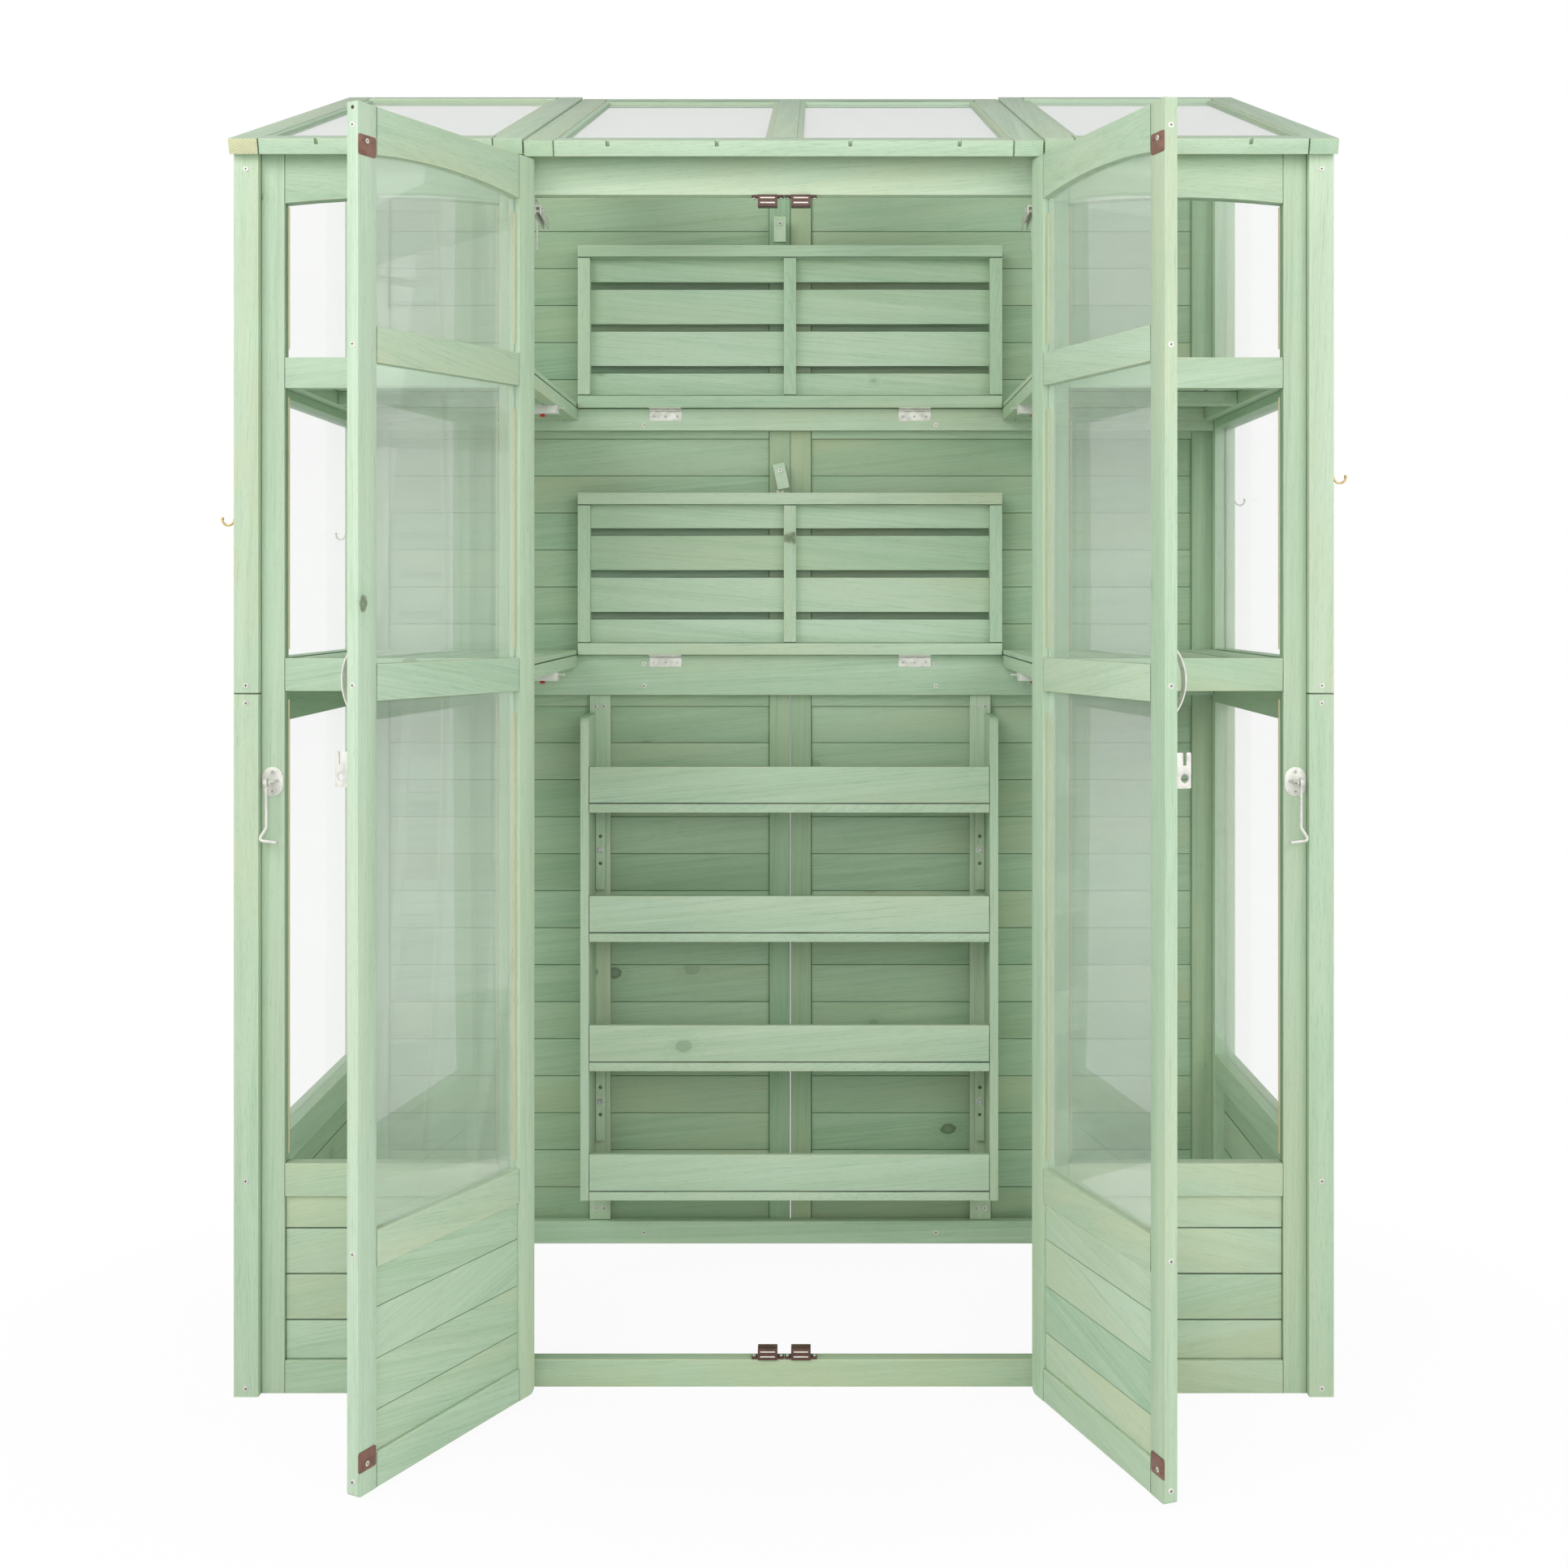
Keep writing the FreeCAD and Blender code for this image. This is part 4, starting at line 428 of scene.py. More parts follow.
def screw_recipe():
    """A cross-head screw on every guide point, standing out along the point's facing."""
    bench, given = new_recipe(
        "screw_heads",
        [
            ("Head radius", "Float", 4 * MM),
            ("Head height", "Float", 0.8 * MM),
            ("Slot share", "Float", 0.24),
            ("Finish", "Material"),
            ("Recess finish", "Material"),
        ],
    )
    radius, height = given["Head radius"], given["Head height"]
    top = bench.times(radius, 0.84)
    cone = {"Vertices": 32, "Radius Bottom": radius, "Radius Top": top, "Depth": height}
    head = bench.put("GeometryNodeMeshCone", cone)

    # Two crossed blades cut the slot and leave their own dark finish in it as painted shade
    size = bench.vector(radius, bench.times(radius, given["Slot share"]), bench.times(height, 1.3))
    blade = bench.put("GeometryNodeMeshCube", {"Size": size}).outputs["Mesh"]
    lift = bench.vector(0.0, 0.0, bench.times(height, 0.9))
    raised = bench.put("GeometryNodeTransform", {"Geometry": blade, "Translation": lift})
    quarter = (0, 0, math.radians(90))
    crossed = bench.put("GeometryNodeTransform", {"Geometry": raised.outputs[0], "Rotation": quarter})
    cutters = bench.put("GeometryNodeJoinGeometry", {0: raised.outputs[0]})
    bench.feed(cutters.inputs[0], crossed.outputs[0])
    recess = {"Geometry": cutters.outputs[0], "Material": given["Recess finish"]}
    dark = bench.put("GeometryNodeSetMaterial", recess)
    cut = bench.put(
        "GeometryNodeMeshBoolean",
        {"Mesh 1": head.outputs["Mesh"], "Mesh 2": dark.outputs["Geometry"], "Self Intersection": True},
        operation="DIFFERENCE",
        solver="EXACT",
    )

    spots = bench.put("GeometryNodeMeshToPoints", {"Mesh": given["Guide"]})
    instances = {
        "Points": spots.outputs["Points"],
        "Instance": cut.outputs["Mesh"],
        "Rotation": facing_turn(bench),
    }
    placed = bench.put("GeometryNodeInstanceOnPoints", instances)
    real = bench.put("GeometryNodeRealizeInstances", {"Geometry": placed.outputs["Instances"]})
    is_recess = bench.put("GeometryNodeMaterialSelection", {"Material": given["Recess finish"]})
    rest = bench.put("FunctionNodeBooleanMath", {0: is_recess.outputs["Selection"]}, operation="NOT")
    covered = {
        "Geometry": real.outputs["Geometry"],
        "Selection": rest.outputs["Boolean"],
        "Material": given["Finish"],
    }
    done = bench.put("GeometryNodeSetMaterial", covered)
    bench.put("NodeGroupOutput", {"Mesh": done.outputs["Geometry"]})
    return bench.tree


def lath_recipe():
    """A lath on every guide edge, as long as the edge, its thickness along the edge's facing."""
    bench, given = new_recipe(
        "laths_on_edges",
        [
            ("Width", "Float", 9 * MM),
            ("Thickness", "Float", 4 * MM),
            ("Seed", "Int", 1),
            ("Finish", "Material"),
        ],
    )
    ends = bench.put("GeometryNodeInputMeshEdgeVertices").outputs
    run = bench.vectors("SUBTRACT", ends["Position 2"], ends["Position 1"])
    edges = bench.keep(given["Guide"], "run", run, "EDGE")
    edges = bench.keep(edges, "long", bench.length(run), "EDGE", "FLOAT")
    spots = bench.put("GeometryNodeMeshToPoints", {"Mesh": edges}, mode="EDGES")
    first = bench.put("FunctionNodeAlignRotationToVector", {"Vector": bench.recall("run")}, axis="X")
    second = bench.put(
        "FunctionNodeAlignRotationToVector",
        {"Rotation": first.outputs["Rotation"], "Vector": bench.recall("facing")},
        axis="Z",
        pivot_axis="X",
    )

    # A bar one metre long, which keeps its own places as grain before it is stretched
    size = bench.vector(1.0, given["Width"], given["Thickness"])
    bar = bench.put("GeometryNodeMeshCube", {"Size": size}).outputs["Mesh"]
    bar = bench.keep(bar, "grain", bench.put("GeometryNodeInputPosition").outputs["Position"], "POINT")
    stretch = bench.vector(bench.recall("long", "FLOAT"), 1.0, 1.0)
    instances = {
        "Points": spots.outputs["Points"],
        "Instance": bar,
        "Rotation": second.outputs["Rotation"],
        "Scale": stretch,
    }
    placed = bench.put("GeometryNodeInstanceOnPoints", instances).outputs["Instances"]
    chance = bench.put("FunctionNodeRandomValue", {"Seed": given["Seed"]}, data_type="FLOAT_VECTOR")
    placed = bench.keep(placed, "chance", chance.outputs["Value"], "INSTANCE")
    real = bench.put("GeometryNodeRealizeInstances", {"Geometry": placed}).outputs["Geometry"]

    # Each lath's grain comes from its own part of a log
    stretched = bench.vectors("MULTIPLY", bench.recall("grain"), stretch)
    away = bench.vectors("MULTIPLY", bench.recall("chance"), (60, 0.03, 0.05))
    laths = bench.keep(real, "grain", bench.vectors("ADD", stretched, away), "POINT")
    done = bench.put("GeometryNodeSetMaterial", {"Geometry": laths, "Material": given["Finish"]})
    bench.put("NodeGroupOutput", {"Mesh": done.outputs["Geometry"]})
    return bench.tree


SCREW_HEADS = screw_recipe()
LATHS = lath_recipe()


def grow(recipe, guide, values):
    """Runs a recipe on a guide mesh and hands back the plain mesh it makes."""
    holder = bpy.data.objects.new(guide.name, guide)
    bpy.context.scene.collection.objects.link(holder)
    step = holder.modifiers.new(recipe.name, "NODES")
    step.node_group = recipe
    for item in recipe.interface.items_tree:
        if item.item_type == "SOCKET" and item.in_out == "INPUT" and item.name in values:
            step[item.identifier] = values[item.name]
    graph = bpy.context.evaluated_depsgraph_get()
    mesh = bpy.data.meshes.new_from_object(holder.evaluated_get(graph), depsgraph=graph)
    bpy.data.objects.remove(holder)
    return mesh


# Pieces


def link_piece(name, mesh):
    piece = bpy.data.objects.new(name, mesh)
    bpy.context.scene.collection.objects.link(piece)
    return piece


def mark(mesh, name, kind, domain, rows):
    """Stores a row of numbers for each point, edge or corner of a mesh."""
    field = {"FLOAT": "value", "FLOAT_VECTOR": "vector", "FLOAT_COLOR": "color"}[kind]
    mesh.attributes.new(name, kind, domain).data.foreach_set(field, [value for row in rows for value in row])


def finished_mesh(name, points, faces, finishes, slots, crease_degrees):
    """A smooth mesh with creases, each face in one of the finishes."""
    mesh = bpy.data.meshes.new(name)
    mesh.from_pydata(points, [], faces)
    for finish in finishes:
        mesh.materials.append(FINISHES[finish])
    mesh.polygons.foreach_set("material_index", slots)
    mesh.shade_smooth()
    mesh.set_sharp_from_angle(angle=math.radians(crease_degrees))
    return mesh


body_of = {}
for body, members in frame["record"]["behaviour"]["bodies"].items():
    for member in members:
        body_of[member] = body


def fasten(piece, node_name):
    """A piece rides with the node that it is fixed to."""
    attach(piece, body_of[node_name])


def dress(piece, node_name):
    """A piece takes the place of a node."""
    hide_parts(node_name)
    fasten(piece, node_name)


def screw_set(name, spots, radius_mm, height_mm, seed, finish="zinc_steel"):
    """Cross-head screws at (place, facing) spots, each turned its own way."""
    guide = bpy.data.meshes.new(name + "_guide")
    guide.from_pydata([Vector(place) for place, facing in spots], [], [])
    draw = random.Random(seed)
    mark(guide, "facing", "FLOAT_VECTOR", "POINT", [facing for place, facing in spots])
    mark(guide, "turn", "FLOAT", "POINT", [(draw.uniform(0, math.pi / 2),) for spot in spots])
    values = {
        "Head radius": radius_mm * MM,
        "Head height": height_mm * MM,
        "Finish": FINISHES[finish],
        "Recess finish": FINISHES["slot_shade_steel"],
    }
    mesh = grow(SCREW_HEADS, guide, values)
    mesh.set_sharp_from_angle(angle=math.radians(30))
    return link_piece(name, mesh)


def lath_set(name, runs, width_mm, thick_mm, finish, seed):
    """Laths between pairs of points: (start, end, facing)."""
    guide = bpy.data.meshes.new(name + "_guide")
    places = [Vector(place) for start, end, facing in runs for place in (start, end)]
    guide.from_pydata(places, [(2 * step, 2 * step + 1) for step in range(len(runs))], [])
    draw = random.Random(seed)
    mark(guide, "facing", "FLOAT_VECTOR", "EDGE", [facing for start, end, facing in runs])
    mark(guide, "stick", "FLOAT_COLOR", "EDGE", [(0, draw.random(), draw.random(), 0) for run in runs])
    values = {"Width": width_mm * MM, "Thickness": thick_mm * MM, "Seed": seed, "Finish": FINISHES[finish]}
    return link_piece(name, grow(LATHS, guide, values))


# Solids of the frame


def solids_of(node_name):
    """The closed solids of a node, each a list of corner points and a list of triangles.

    The triangles come solid after solid, so a solid is done when no edge is left open.
    """
    mesh = frame["nodes"][node_name].data
    solids = []
    points, triangles, index_of, open_edges = [], [], {}, set()
    for polygon in mesh.polygons:
        corners = []
        for vertex in polygon.vertices:
            place = mesh.vertices[vertex].co
            key = (round(place.x, 6), round(place.y, 6), round(place.z, 6))
            if key not in index_of:
                index_of[key] = len(points)
                points.append(Vector(place))
            corners.append(index_of[key])
        if len(set(corners)) < 3:
            continue
        triangles.append(corners)
        for start, end in zip(corners, corners[1:] + corners[:1]):
            if (end, start) in open_edges:
                open_edges.remove((end, start))
            else:
                open_edges.add((start, end))
        if not open_edges:
            solids.append((points, triangles))
            points, triangles, index_of = [], [], {}
    if triangles:
        solids.append((points, triangles))
    return solids


def box_of(points):
    """The middle, the lowest and the highest corner of the points' box."""
    low = Vector([min(point[axis] for point in points) for axis in range(3)])
    high = Vector([max(point[axis] for point in points) for axis in range(3)])
    return (low + high) / 2, low, high


def boxed_solids(node_name):
    return [(points, *box_of(points)) for points, triangles in solids_of(node_name)]


def solid_mesh(points, triangles):
    """One solid as a clean editable mesh with flat faces joined."""
    flat = math.radians(0.6)
    solid = bmesh.new()
    corners = [solid.verts.new(point) for point in points]
    for triangle in triangles:
        try:
            solid.faces.new([corners[index] for index in triangle])
        except ValueError:
            continue
    bmesh.ops.dissolve_limit(solid, angle_limit=flat, verts=solid.verts[:], edges=solid.edges[:])
    solid.normal_update()
    return solid


def bevelled(solid, edges, size, steps, profile):
    shape = {"segments": steps, "profile": profile, "affect": "EDGES", "clamp_overlap": True}
    bmesh.ops.bevel(solid, geom=edges, offset=size, **shape)
    solid.normal_update()


def rounded(solid, size):
    """Eases every edge that a hand would feel."""
    felt = math.radians(28)
    sharp = [edge for edge in solid.edges if len(edge.link_faces) == 2 and edge.calc_face_angle() > felt]
    bevelled(solid, sharp, size, 2, 0.6)


# Timber

# Slot, eased edge in millimetres and, where it isn't the slot's own, finish
WOOD_NODES = {
    "side_frame_left": ("frame_wood", 1.2),
    "side_frame_right": ("frame_wood", 1.2),
    "front_frame_left": ("frame_wood", 1.0, "front_wood"),
    "front_frame_right": ("frame_wood", 1.0, "front_wood"),
    "apron_boards": ("board_wood", 1.2, "front_wood"),
    # The back frames, back boards and threshold take the darker wood as painted shade
    "back_frames": ("frame_wood", 0.8, "back_shaded_wood"),
    "back_boards": ("board_wood", 0.8, "back_shaded_wood"),
    "wall_cleats": ("inside_wood", 1.2),
    "header": ("frame_wood", 1.2),
    "threshold": ("frame_wood", 1.2, "back_shaded_wood"),
    "roof_frame_left": ("frame_wood", 1.2),
    "roof_frame_right": ("frame_wood", 1.2),
    "vent_frame": ("frame_wood", 1.2),
    "upper_side_shelves": ("inside_wood", 1.2),
    "lower_side_shelves": ("inside_wood", 1.2),
    "rack_sides": ("inside_wood", 1.5),
    "rack_shelves": ("inside_wood", 1.2),
    "rack_lips": ("inside_wood", 1.5),
    "rack_battens": ("inside_wood", 1.0),
    "wall_strips": ("inside_wood", 1.0),
    "door_frame_left": ("frame_wood", 1.4),
    "door_frame_right": ("frame_wood", 1.4),
    "door_boards_left": ("board_wood", 0.7),
    "door_boards_right": ("board_wood", 0.7),
    "upper_flap": ("inside_wood", 1.2),
    "lower_flap": ("inside_wood", 1.2),
    "upper_button": ("inside_wood", 1.2),
    "lower_button": ("inside_wood", 1.2),
}
JOINT_EDGE, FREE_EDGE = 0.5, 1.0
# The roof's outer left rail reaches past this and has raw ends
RAW_END_X = -0.74
# The slit between the back panels ends at this height
SLIT_TOP = 0.9
SLIT_HALF = 3 * MM


def corner_key(points):
    return frozenset(tuple(round(value, 5) for value in point) for point in points)


def all_sticks():
    """Every stick's flat faces in one search tree, with the stick that each face belongs to."""
    corners, triangles, owners = [], [], []
    for node_name in WOOD_NODES:
        for points, faces in solids_of(node_name):
            first = len(corners)
            corners.extend(points)
            triangles.extend([first + index for index in face] for face in faces)
            owners.extend([corner_key(points)] * len(faces))
    return BVHTree.FromPolygons(corners, triangles), owners


STICKS, STICK_OWNERS = all_sticks()


def meets_another(place, outward, own):
    """Whether another stick lies against this place on a stick's edge."""
    start = place + outward * (0.6 * MM)
    return any(not STICK_OWNERS[found[2]] <= own for found in STICKS.find_nearest_range(start, 2.2 * MM))


def grain_frame(solid):
    """Directions along, across and through a stick, from its longest edge and its widest long face."""
    longest = max(solid.edges, key=lambda edge: edge.calc_length())
    along = (longest.verts[1].co - longest.verts[0].co).normalized()
    sides = [face for face in solid.faces if abs(face.normal.dot(along)) < 0.2]
    deep = Vector(max(sides, key=lambda face: face.calc_area()).normal)
    deep = (deep - along * deep.dot(along)).normalized()
    return along, deep.cross(along), deep


class Timber:
    """Gathers the sticks of one node into one mesh with grain, stick and edge attributes."""

    def __init__(self, name, seed):
        self.name = name
        self.random = random.Random(seed)
        self.points, self.faces, self.grain, self.stick, self.slots = [], [], [], [], []

    def add(self, solid, edge_size, end_slot):
        along, across, deep = grain_frame(solid)
        own = corner_key([vertex.co for vertex in solid.verts])
        planes = [Vector(face.normal) for face in solid.faces if face.calc_area() > 4 * MM * MM]
        middle = sum((vertex.co for vertex in solid.verts), Vector()) / len(solid.verts)
        rounded(solid, edge_size)
        draw = self.random.uniform
        start = Vector((draw(0, 60), draw(-0.03, 0.03), draw(0.012, 0.05)))
        tone, warmth = draw(0, 1), draw(0, 1)
        first = len(self.points)
        solid.verts.index_update()
        for vertex in solid.verts:
            gap = vertex.co - middle
            self.points.append(vertex.co.copy())
            self.grain.append(start + Vector((gap.dot(along), gap.dot(across), gap.dot(deep))))
        for face in solid.faces:
            is_end = abs(face.normal.dot(along)) > 0.8
            edge = 0.0
            if max(face.normal.dot(plane) for plane in planes) < 0.99:
                joined = meets_another(face.calc_center_median(), face.normal, own)
                edge = JOINT_EDGE if joined else FREE_EDGE
            self.faces.append([first + vertex.index for vertex in face.verts])
            self.stick.extend([(float(is_end), tone, warmth, edge)] * len(face.verts))
            self.slots.append(end_slot if is_end else 0)
        solid.free()

    def build(self, finishes):
        mesh = finished_mesh(self.name, self.points, self.faces, finishes, self.slots, 20)
        mark(mesh, "grain", "FLOAT_VECTOR", "POINT", self.grain)
        mark(mesh, "stick", "FLOAT_COLOR", "CORNER", self.stick)
        return link_piece(self.name, mesh)


def close_meeting_stile(points):
    """The back panels' meeting stiles touch at the top, where lower down they leave a slit of light."""
    for point in points:
        if abs(point.x) < SLIT_HALF and point.z > SLIT_TOP:
            point.x = 0.0


def make_timber():
    for order, (node_name, (slot, edge_mm, *finish)) in enumerate(WOOD_NODES.items()):
        timber = Timber(node_name + "_wood", 100 + order)
        for points, triangles in solids_of(node_name):
            if node_name == "back_frames":
                close_meeting_stile(points)
            outermost = node_name == "roof_frame_left" and min(point.x for point in points) < RAW_END_X
            timber.add(solid_mesh(points, triangles), edge_mm * MM, end_slot=1 if outermost else 0)
        piece = timber.build([finish[0] if finish else slot, "raw_end_wood"])
        dress(piece, node_name)


# Fittings

# Slot and eased edge in millimetres
FITTING_NODES = {
    "magnetic_catches": ("brown_plastic", 0.5),
    "bolt_housings": ("white_plastic", 0.6),
    "rack_bolts": ("zinc_steel", 0.3),
    "hook_eyes": ("zinc_steel", 0.3),
    "front_cup_hooks": ("yellow_metal", 0.2),
    "back_cup_hooks": ("zinc_steel", 0.2),
    "stay_brackets": ("zinc_steel", 0.3),
    "fixed_hinge_leaves": ("zinc_steel", 0.25),
    "vent_leaves": ("zinc_steel", 0.3),
    "upper_flap_fittings": ("zinc_steel", 0.3),
    "lower_flap_fittings": ("zinc_steel", 0.3),
}
PAIRED_FITTINGS = {
    "door_handle_": ("zinc_steel", 0.3),
    "door_fittings_": ("zinc_steel", 0.3),
    "strike_plates_": ("bronzed_steel", 0.25),
    "bolt_pin_upper_": ("red_plastic", 0.2),
    "bolt_pin_lower_": ("red_plastic", 0.2),
    "cabin_hook_": ("zinc_steel", 0.2),
    "stay_arm_": ("zinc_steel", 0.3),
}
for pair, looks in PAIRED_FITTINGS.items():
    for side in SIDES:
        FITTING_NODES[pair + side] = looks


class Shape:
    """Gathers small solids with their own finishes into one mesh."""

    def __init__(self, name):
        self.name = name
        self.points, self.faces, self.slots, self.finishes = [], [], [], []

    def add(self, solid, finish):
        if finish not in self.finishes:
            self.finishes.append(finish)
        solid.verts.index_update()
        first = len(self.points)
        self.points.extend(vertex.co.copy() for vertex in solid.verts)
        self.faces.extend([first + vertex.index for vertex in face.verts] for face in solid.faces)
        self.slots.extend([self.finishes.index(finish)] * len(solid.faces))
        solid.free()

    def build(self):
        mesh = finished_mesh(self.name, self.points, self.faces, self.finishes, self.slots, 32)
        return link_piece(self.name, mesh)


def round_corners(solid, size, thickness):
    """Rounds the outline corners of a thin plate."""
    square = math.radians(60)
    corners = []
    for edge in solid.edges:
        if len(edge.link_faces) == 2 and edge.calc_length() < thickness and edge.is_convex:
            if edge.calc_face_angle() > square:
                corners.append(edge)
    bevelled(solid, corners, size, 4, 0.5)


def lump(centre, sizes, edge):
    """A small block with rounded edges."""
    solid = bmesh.new()
    bmesh.ops.create_cube(solid, size=1.0)
    bmesh.ops.scale(solid, vec=Vector(sizes), verts=solid.verts[:])
    bmesh.ops.translate(solid, vec=Vector(centre), verts=solid.verts[:])
    bmesh.ops.bevel(solid, geom=solid.edges[:], offset=edge, segments=2, profile=0.5, affect="EDGES")
    return solid


def ring_of(solid, centre, side, other, radius, steps):
    """Corners on a circle round a centre, or the centre alone for a tip."""
    if radius < 1e-6:
        return [solid.verts.new(centre)]
    ring = []
    for step in range(steps):
        turn = 2 * math.pi * step / steps
        ring.append(solid.verts.new(centre + (side * math.cos(turn) + other * math.sin(turn)) * radius))
    return ring


def skin(solid, rings, steps):
    """Faces between neighbouring rings, all turned outwards."""
    for near, far in zip(rings, rings[1:]):
        for step in range(steps):
            after = (step + 1) % steps
            if len(near) == 1:
                solid.faces.new((near[0], far[after], far[step]))
            elif len(far) == 1:
                solid.faces.new((near[step], near[after], far[0]))
            else:
                solid.faces.new((near[step], near[after], far[after], far[step]))
    bmesh.ops.recalc_face_normals(solid, faces=solid.faces[:])


def turned(profile, start, direction, steps=28):
    """A turned solid: (distance along, radius) pairs spun about a line."""
    direction = Vector(direction).normalized()
    side = direction.orthogonal().normalized()
    other = direction.cross(side)
    solid = bmesh.new()
    rings = []
    for distance, radius in profile:
        rings.append(ring_of(solid, Vector(start) + direction * distance, side, other, radius, steps))
    skin(solid, rings, steps)
    return solid


def wire(path, radius, steps=14):
    """A round wire along a path of points, closed at both ends."""
    places = [Vector(place) for place in path]
    solid = bmesh.new()
    rings = []
    side = (places[1] - places[0]).orthogonal().normalized()
    for order, place in enumerate(places):
        before, after = places[max(order - 1, 0)], places[min(order + 1, len(places) - 1)]
        direction = (after - before).normalized()
        side = (side - direction * side.dot(direction)).normalized()
        rings.append(ring_of(solid, place, side, direction.cross(side), radius, steps))
    solid.faces.new(rings[0][::-1])
    solid.faces.new(rings[-1])
    skin(solid, rings, steps)
    return solid


def catch_strips(shape, low, high):
    """The catch's two keeper plates, seen as pale strips on its front."""
    strip = (0.0205, 0.0014, 0.0019)
    middle = (low.x + high.x) / 2
    for share, finish in ((0.72, "cream_steel"), (0.3, "zinc_steel")):
        height = low.z + (high.z - low.z) * share
        shape.add(lump((middle, low.y + 0.62 * MM, height), strip, 0.3 * MM), finish)


def bolt_pin(shape, low, high, points):
    """A steel rod with a ball tip and a red finger knob under the housing."""
    rod_radius, rod_middle, tip_radius = 1.3 * MM, 2.2 * MM, 1.9 * MM
    knob = [point for point in points if point.z < low.z + 2 * MM]
    knob_x = sum(point.x for point in knob) / len(knob)
    rod_z = high.z - rod_middle
    middle_y = (low.y + high.y) / 2
    inner = 1 if low.x < 0 else -1
    start = low.x if inner > 0 else high.x
    long = high.x - low.x
    rod = [
        (0, 0),
        (0, rod_radius),
        (long - 3.0 * MM, rod_radius),
        (long - 2.6 * MM, tip_radius),
        (long - 0.8 * MM, tip_radius),
        (long, 0.6 * MM),
        (long, 0),
    ]
    shape.add(turned(rod, (start, middle_y, rod_z), (inner, 0, 0)), "zinc_steel")
    knob_profile = [(0, 0), (0, 1.4), (6.8, 1.4), (7.3, 4.0), (8.1, 4.9), (9.2, 4.0), (9.8, 0)]
    drop = (rod_z - low.z) / knob_profile[-1][0]
    stem = [(distance * drop, radius * MM) for distance, radius in knob_profile]
    shape.add(turned(stem, (knob_x, middle_y, rod_z), (0, 0, -1)), "red_plastic")


def staple(shape, low, high):
    """The bent wire eye that stands on a hook plate."""
    half_width, stand = 7.5 * MM, 11.5 * MM
    middle = (low + high) / 2
    path = []
    for step in range(13):
        turn = math.pi * step / 12
        forward = high.y - 2 * MM - stand * math.sin(turn)
        path.append((middle.x + half_width * math.cos(turn), forward, middle.z + 1.2 * MM))
    shape.add(wire(path, 2.1 * MM), "zinc_steel")


def hex_bolt(shape, low, high):
    """A washer and a six-sided head on the front end of a rack bolt, with its shank behind."""
    front = Vector(((low.x + high.x) / 2, low.y, (low.z + high.z) / 2))
    back = (high.y - low.y) / MM
    washer = [(3.0, 0), (3.0, 6.0), (3.6, 6.4), (4.2, 6.4), (4.2, 0)]
    head = [(0, 0), (0, 3.8), (0.6, 4.6), (2.9, 4.6), (2.9, 0)]
    shank = [(4.1, 0), (4.1, 2.9), (back, 2.9), (back, 0)]
    rows = ((washer, 28, "zinc_steel"), (head, 6, "bright_steel"), (shank, 28, "zinc_steel"))
    for profile, steps, finish in rows:
        sized = [(distance * MM, radius * MM) for distance, radius in profile]
        shape.add(turned(sized, front, (0, 1, 0), steps), finish)


def make_fittings():
    for node_name, (slot, edge_mm) in FITTING_NODES.items():
        shape = Shape(node_name + "_finished")
        for order, (corners, triangles) in enumerate(solids_of(node_name)):
            middle, low, high = box_of(corners)
            if node_name.startswith("bolt_pin"):
                bolt_pin(shape, low, high, corners)
                continue
            if node_name == "rack_bolts":
                hex_bolt(shape, low, high)
                continue
            solid = solid_mesh(corners, triangles)
            if node_name.startswith("strike") or (node_name.startswith("door_fittings") and order == 0):
                round_corners(solid, 3.2 * MM, 3.2 * MM)
            rounded(solid, edge_mm * MM)
            shape.add(solid, slot)
            if node_name == "magnetic_catches":
                catch_strips(shape, low, high)
            if node_name == "hook_eyes":
                staple(shape, low, high)
        dress(shape.build(), node_name)


SHEETS = {
    "wall_glazing": "glazing",
    "roof_glazing": "milky_glazing",
    "vent_glazing": "milky_glazing",
    "door_glazing_left": "hazy_glazing",
    "door_glazing_right": "hazy_glazing",
}


def finish_sheets():
    for node_name, finish in SHEETS.items():
        sheet = frame["nodes"][node_name]
        sheet.data.materials.clear()
        sheet.data.materials.append(FINISHES[finish])


# Small pieces on the cabinet

ROOF_SLOPE = math.radians(18.77)
# Heights above this belong to the upper catch or plate
UPPER_HALF = 0.8
# The shelf flaps' fixed leaves lie between these depths, the front panes before this one
FLAP_LEAVES_Y = (0.5, 0.61)
FRONT_PANES_Y = 0.1
EAR_TILT = 0.35
HINGE_SCREW_PITCH = 19.5 * MM
PLATE_SCREW_PITCH = 13.5 * MM


def cabinet_screws(name, spots, radius_mm, height_mm, seed):
    fasten(screw_set(name, spots, radius_mm, height_mm, seed), "side_frame_left")


def make_frame_screws():
    spots = []
    for points, middle, low, high in boxed_solids("frame_screws"):
        spots.append(((middle.x, low.y + 0.5 * MM, middle.z), FRONT))
    dress(screw_set("frame_screw_heads", spots, 4.0, 1.0, 5), "frame_screws")


def make_hinge_screws():
    """Three screws in each shelf flap hinge leaf on the back wall."""
    spots = []
    for points, middle, low, high in boxed_solids("fixed_hinge_leaves"):
        if FLAP_LEAVES_Y[0] < middle.y < FLAP_LEAVES_Y[1]:
            for step in (-1, 0, 1):
                x = middle.x + step * HINGE_SCREW_PITCH
                spots.append(((x, high.y - 1.4 * MM, low.z + 7.2 * MM), FRONT))
    cabinet_screws("hinge_leaf_screws", spots, 3.0, 0.7, 21)


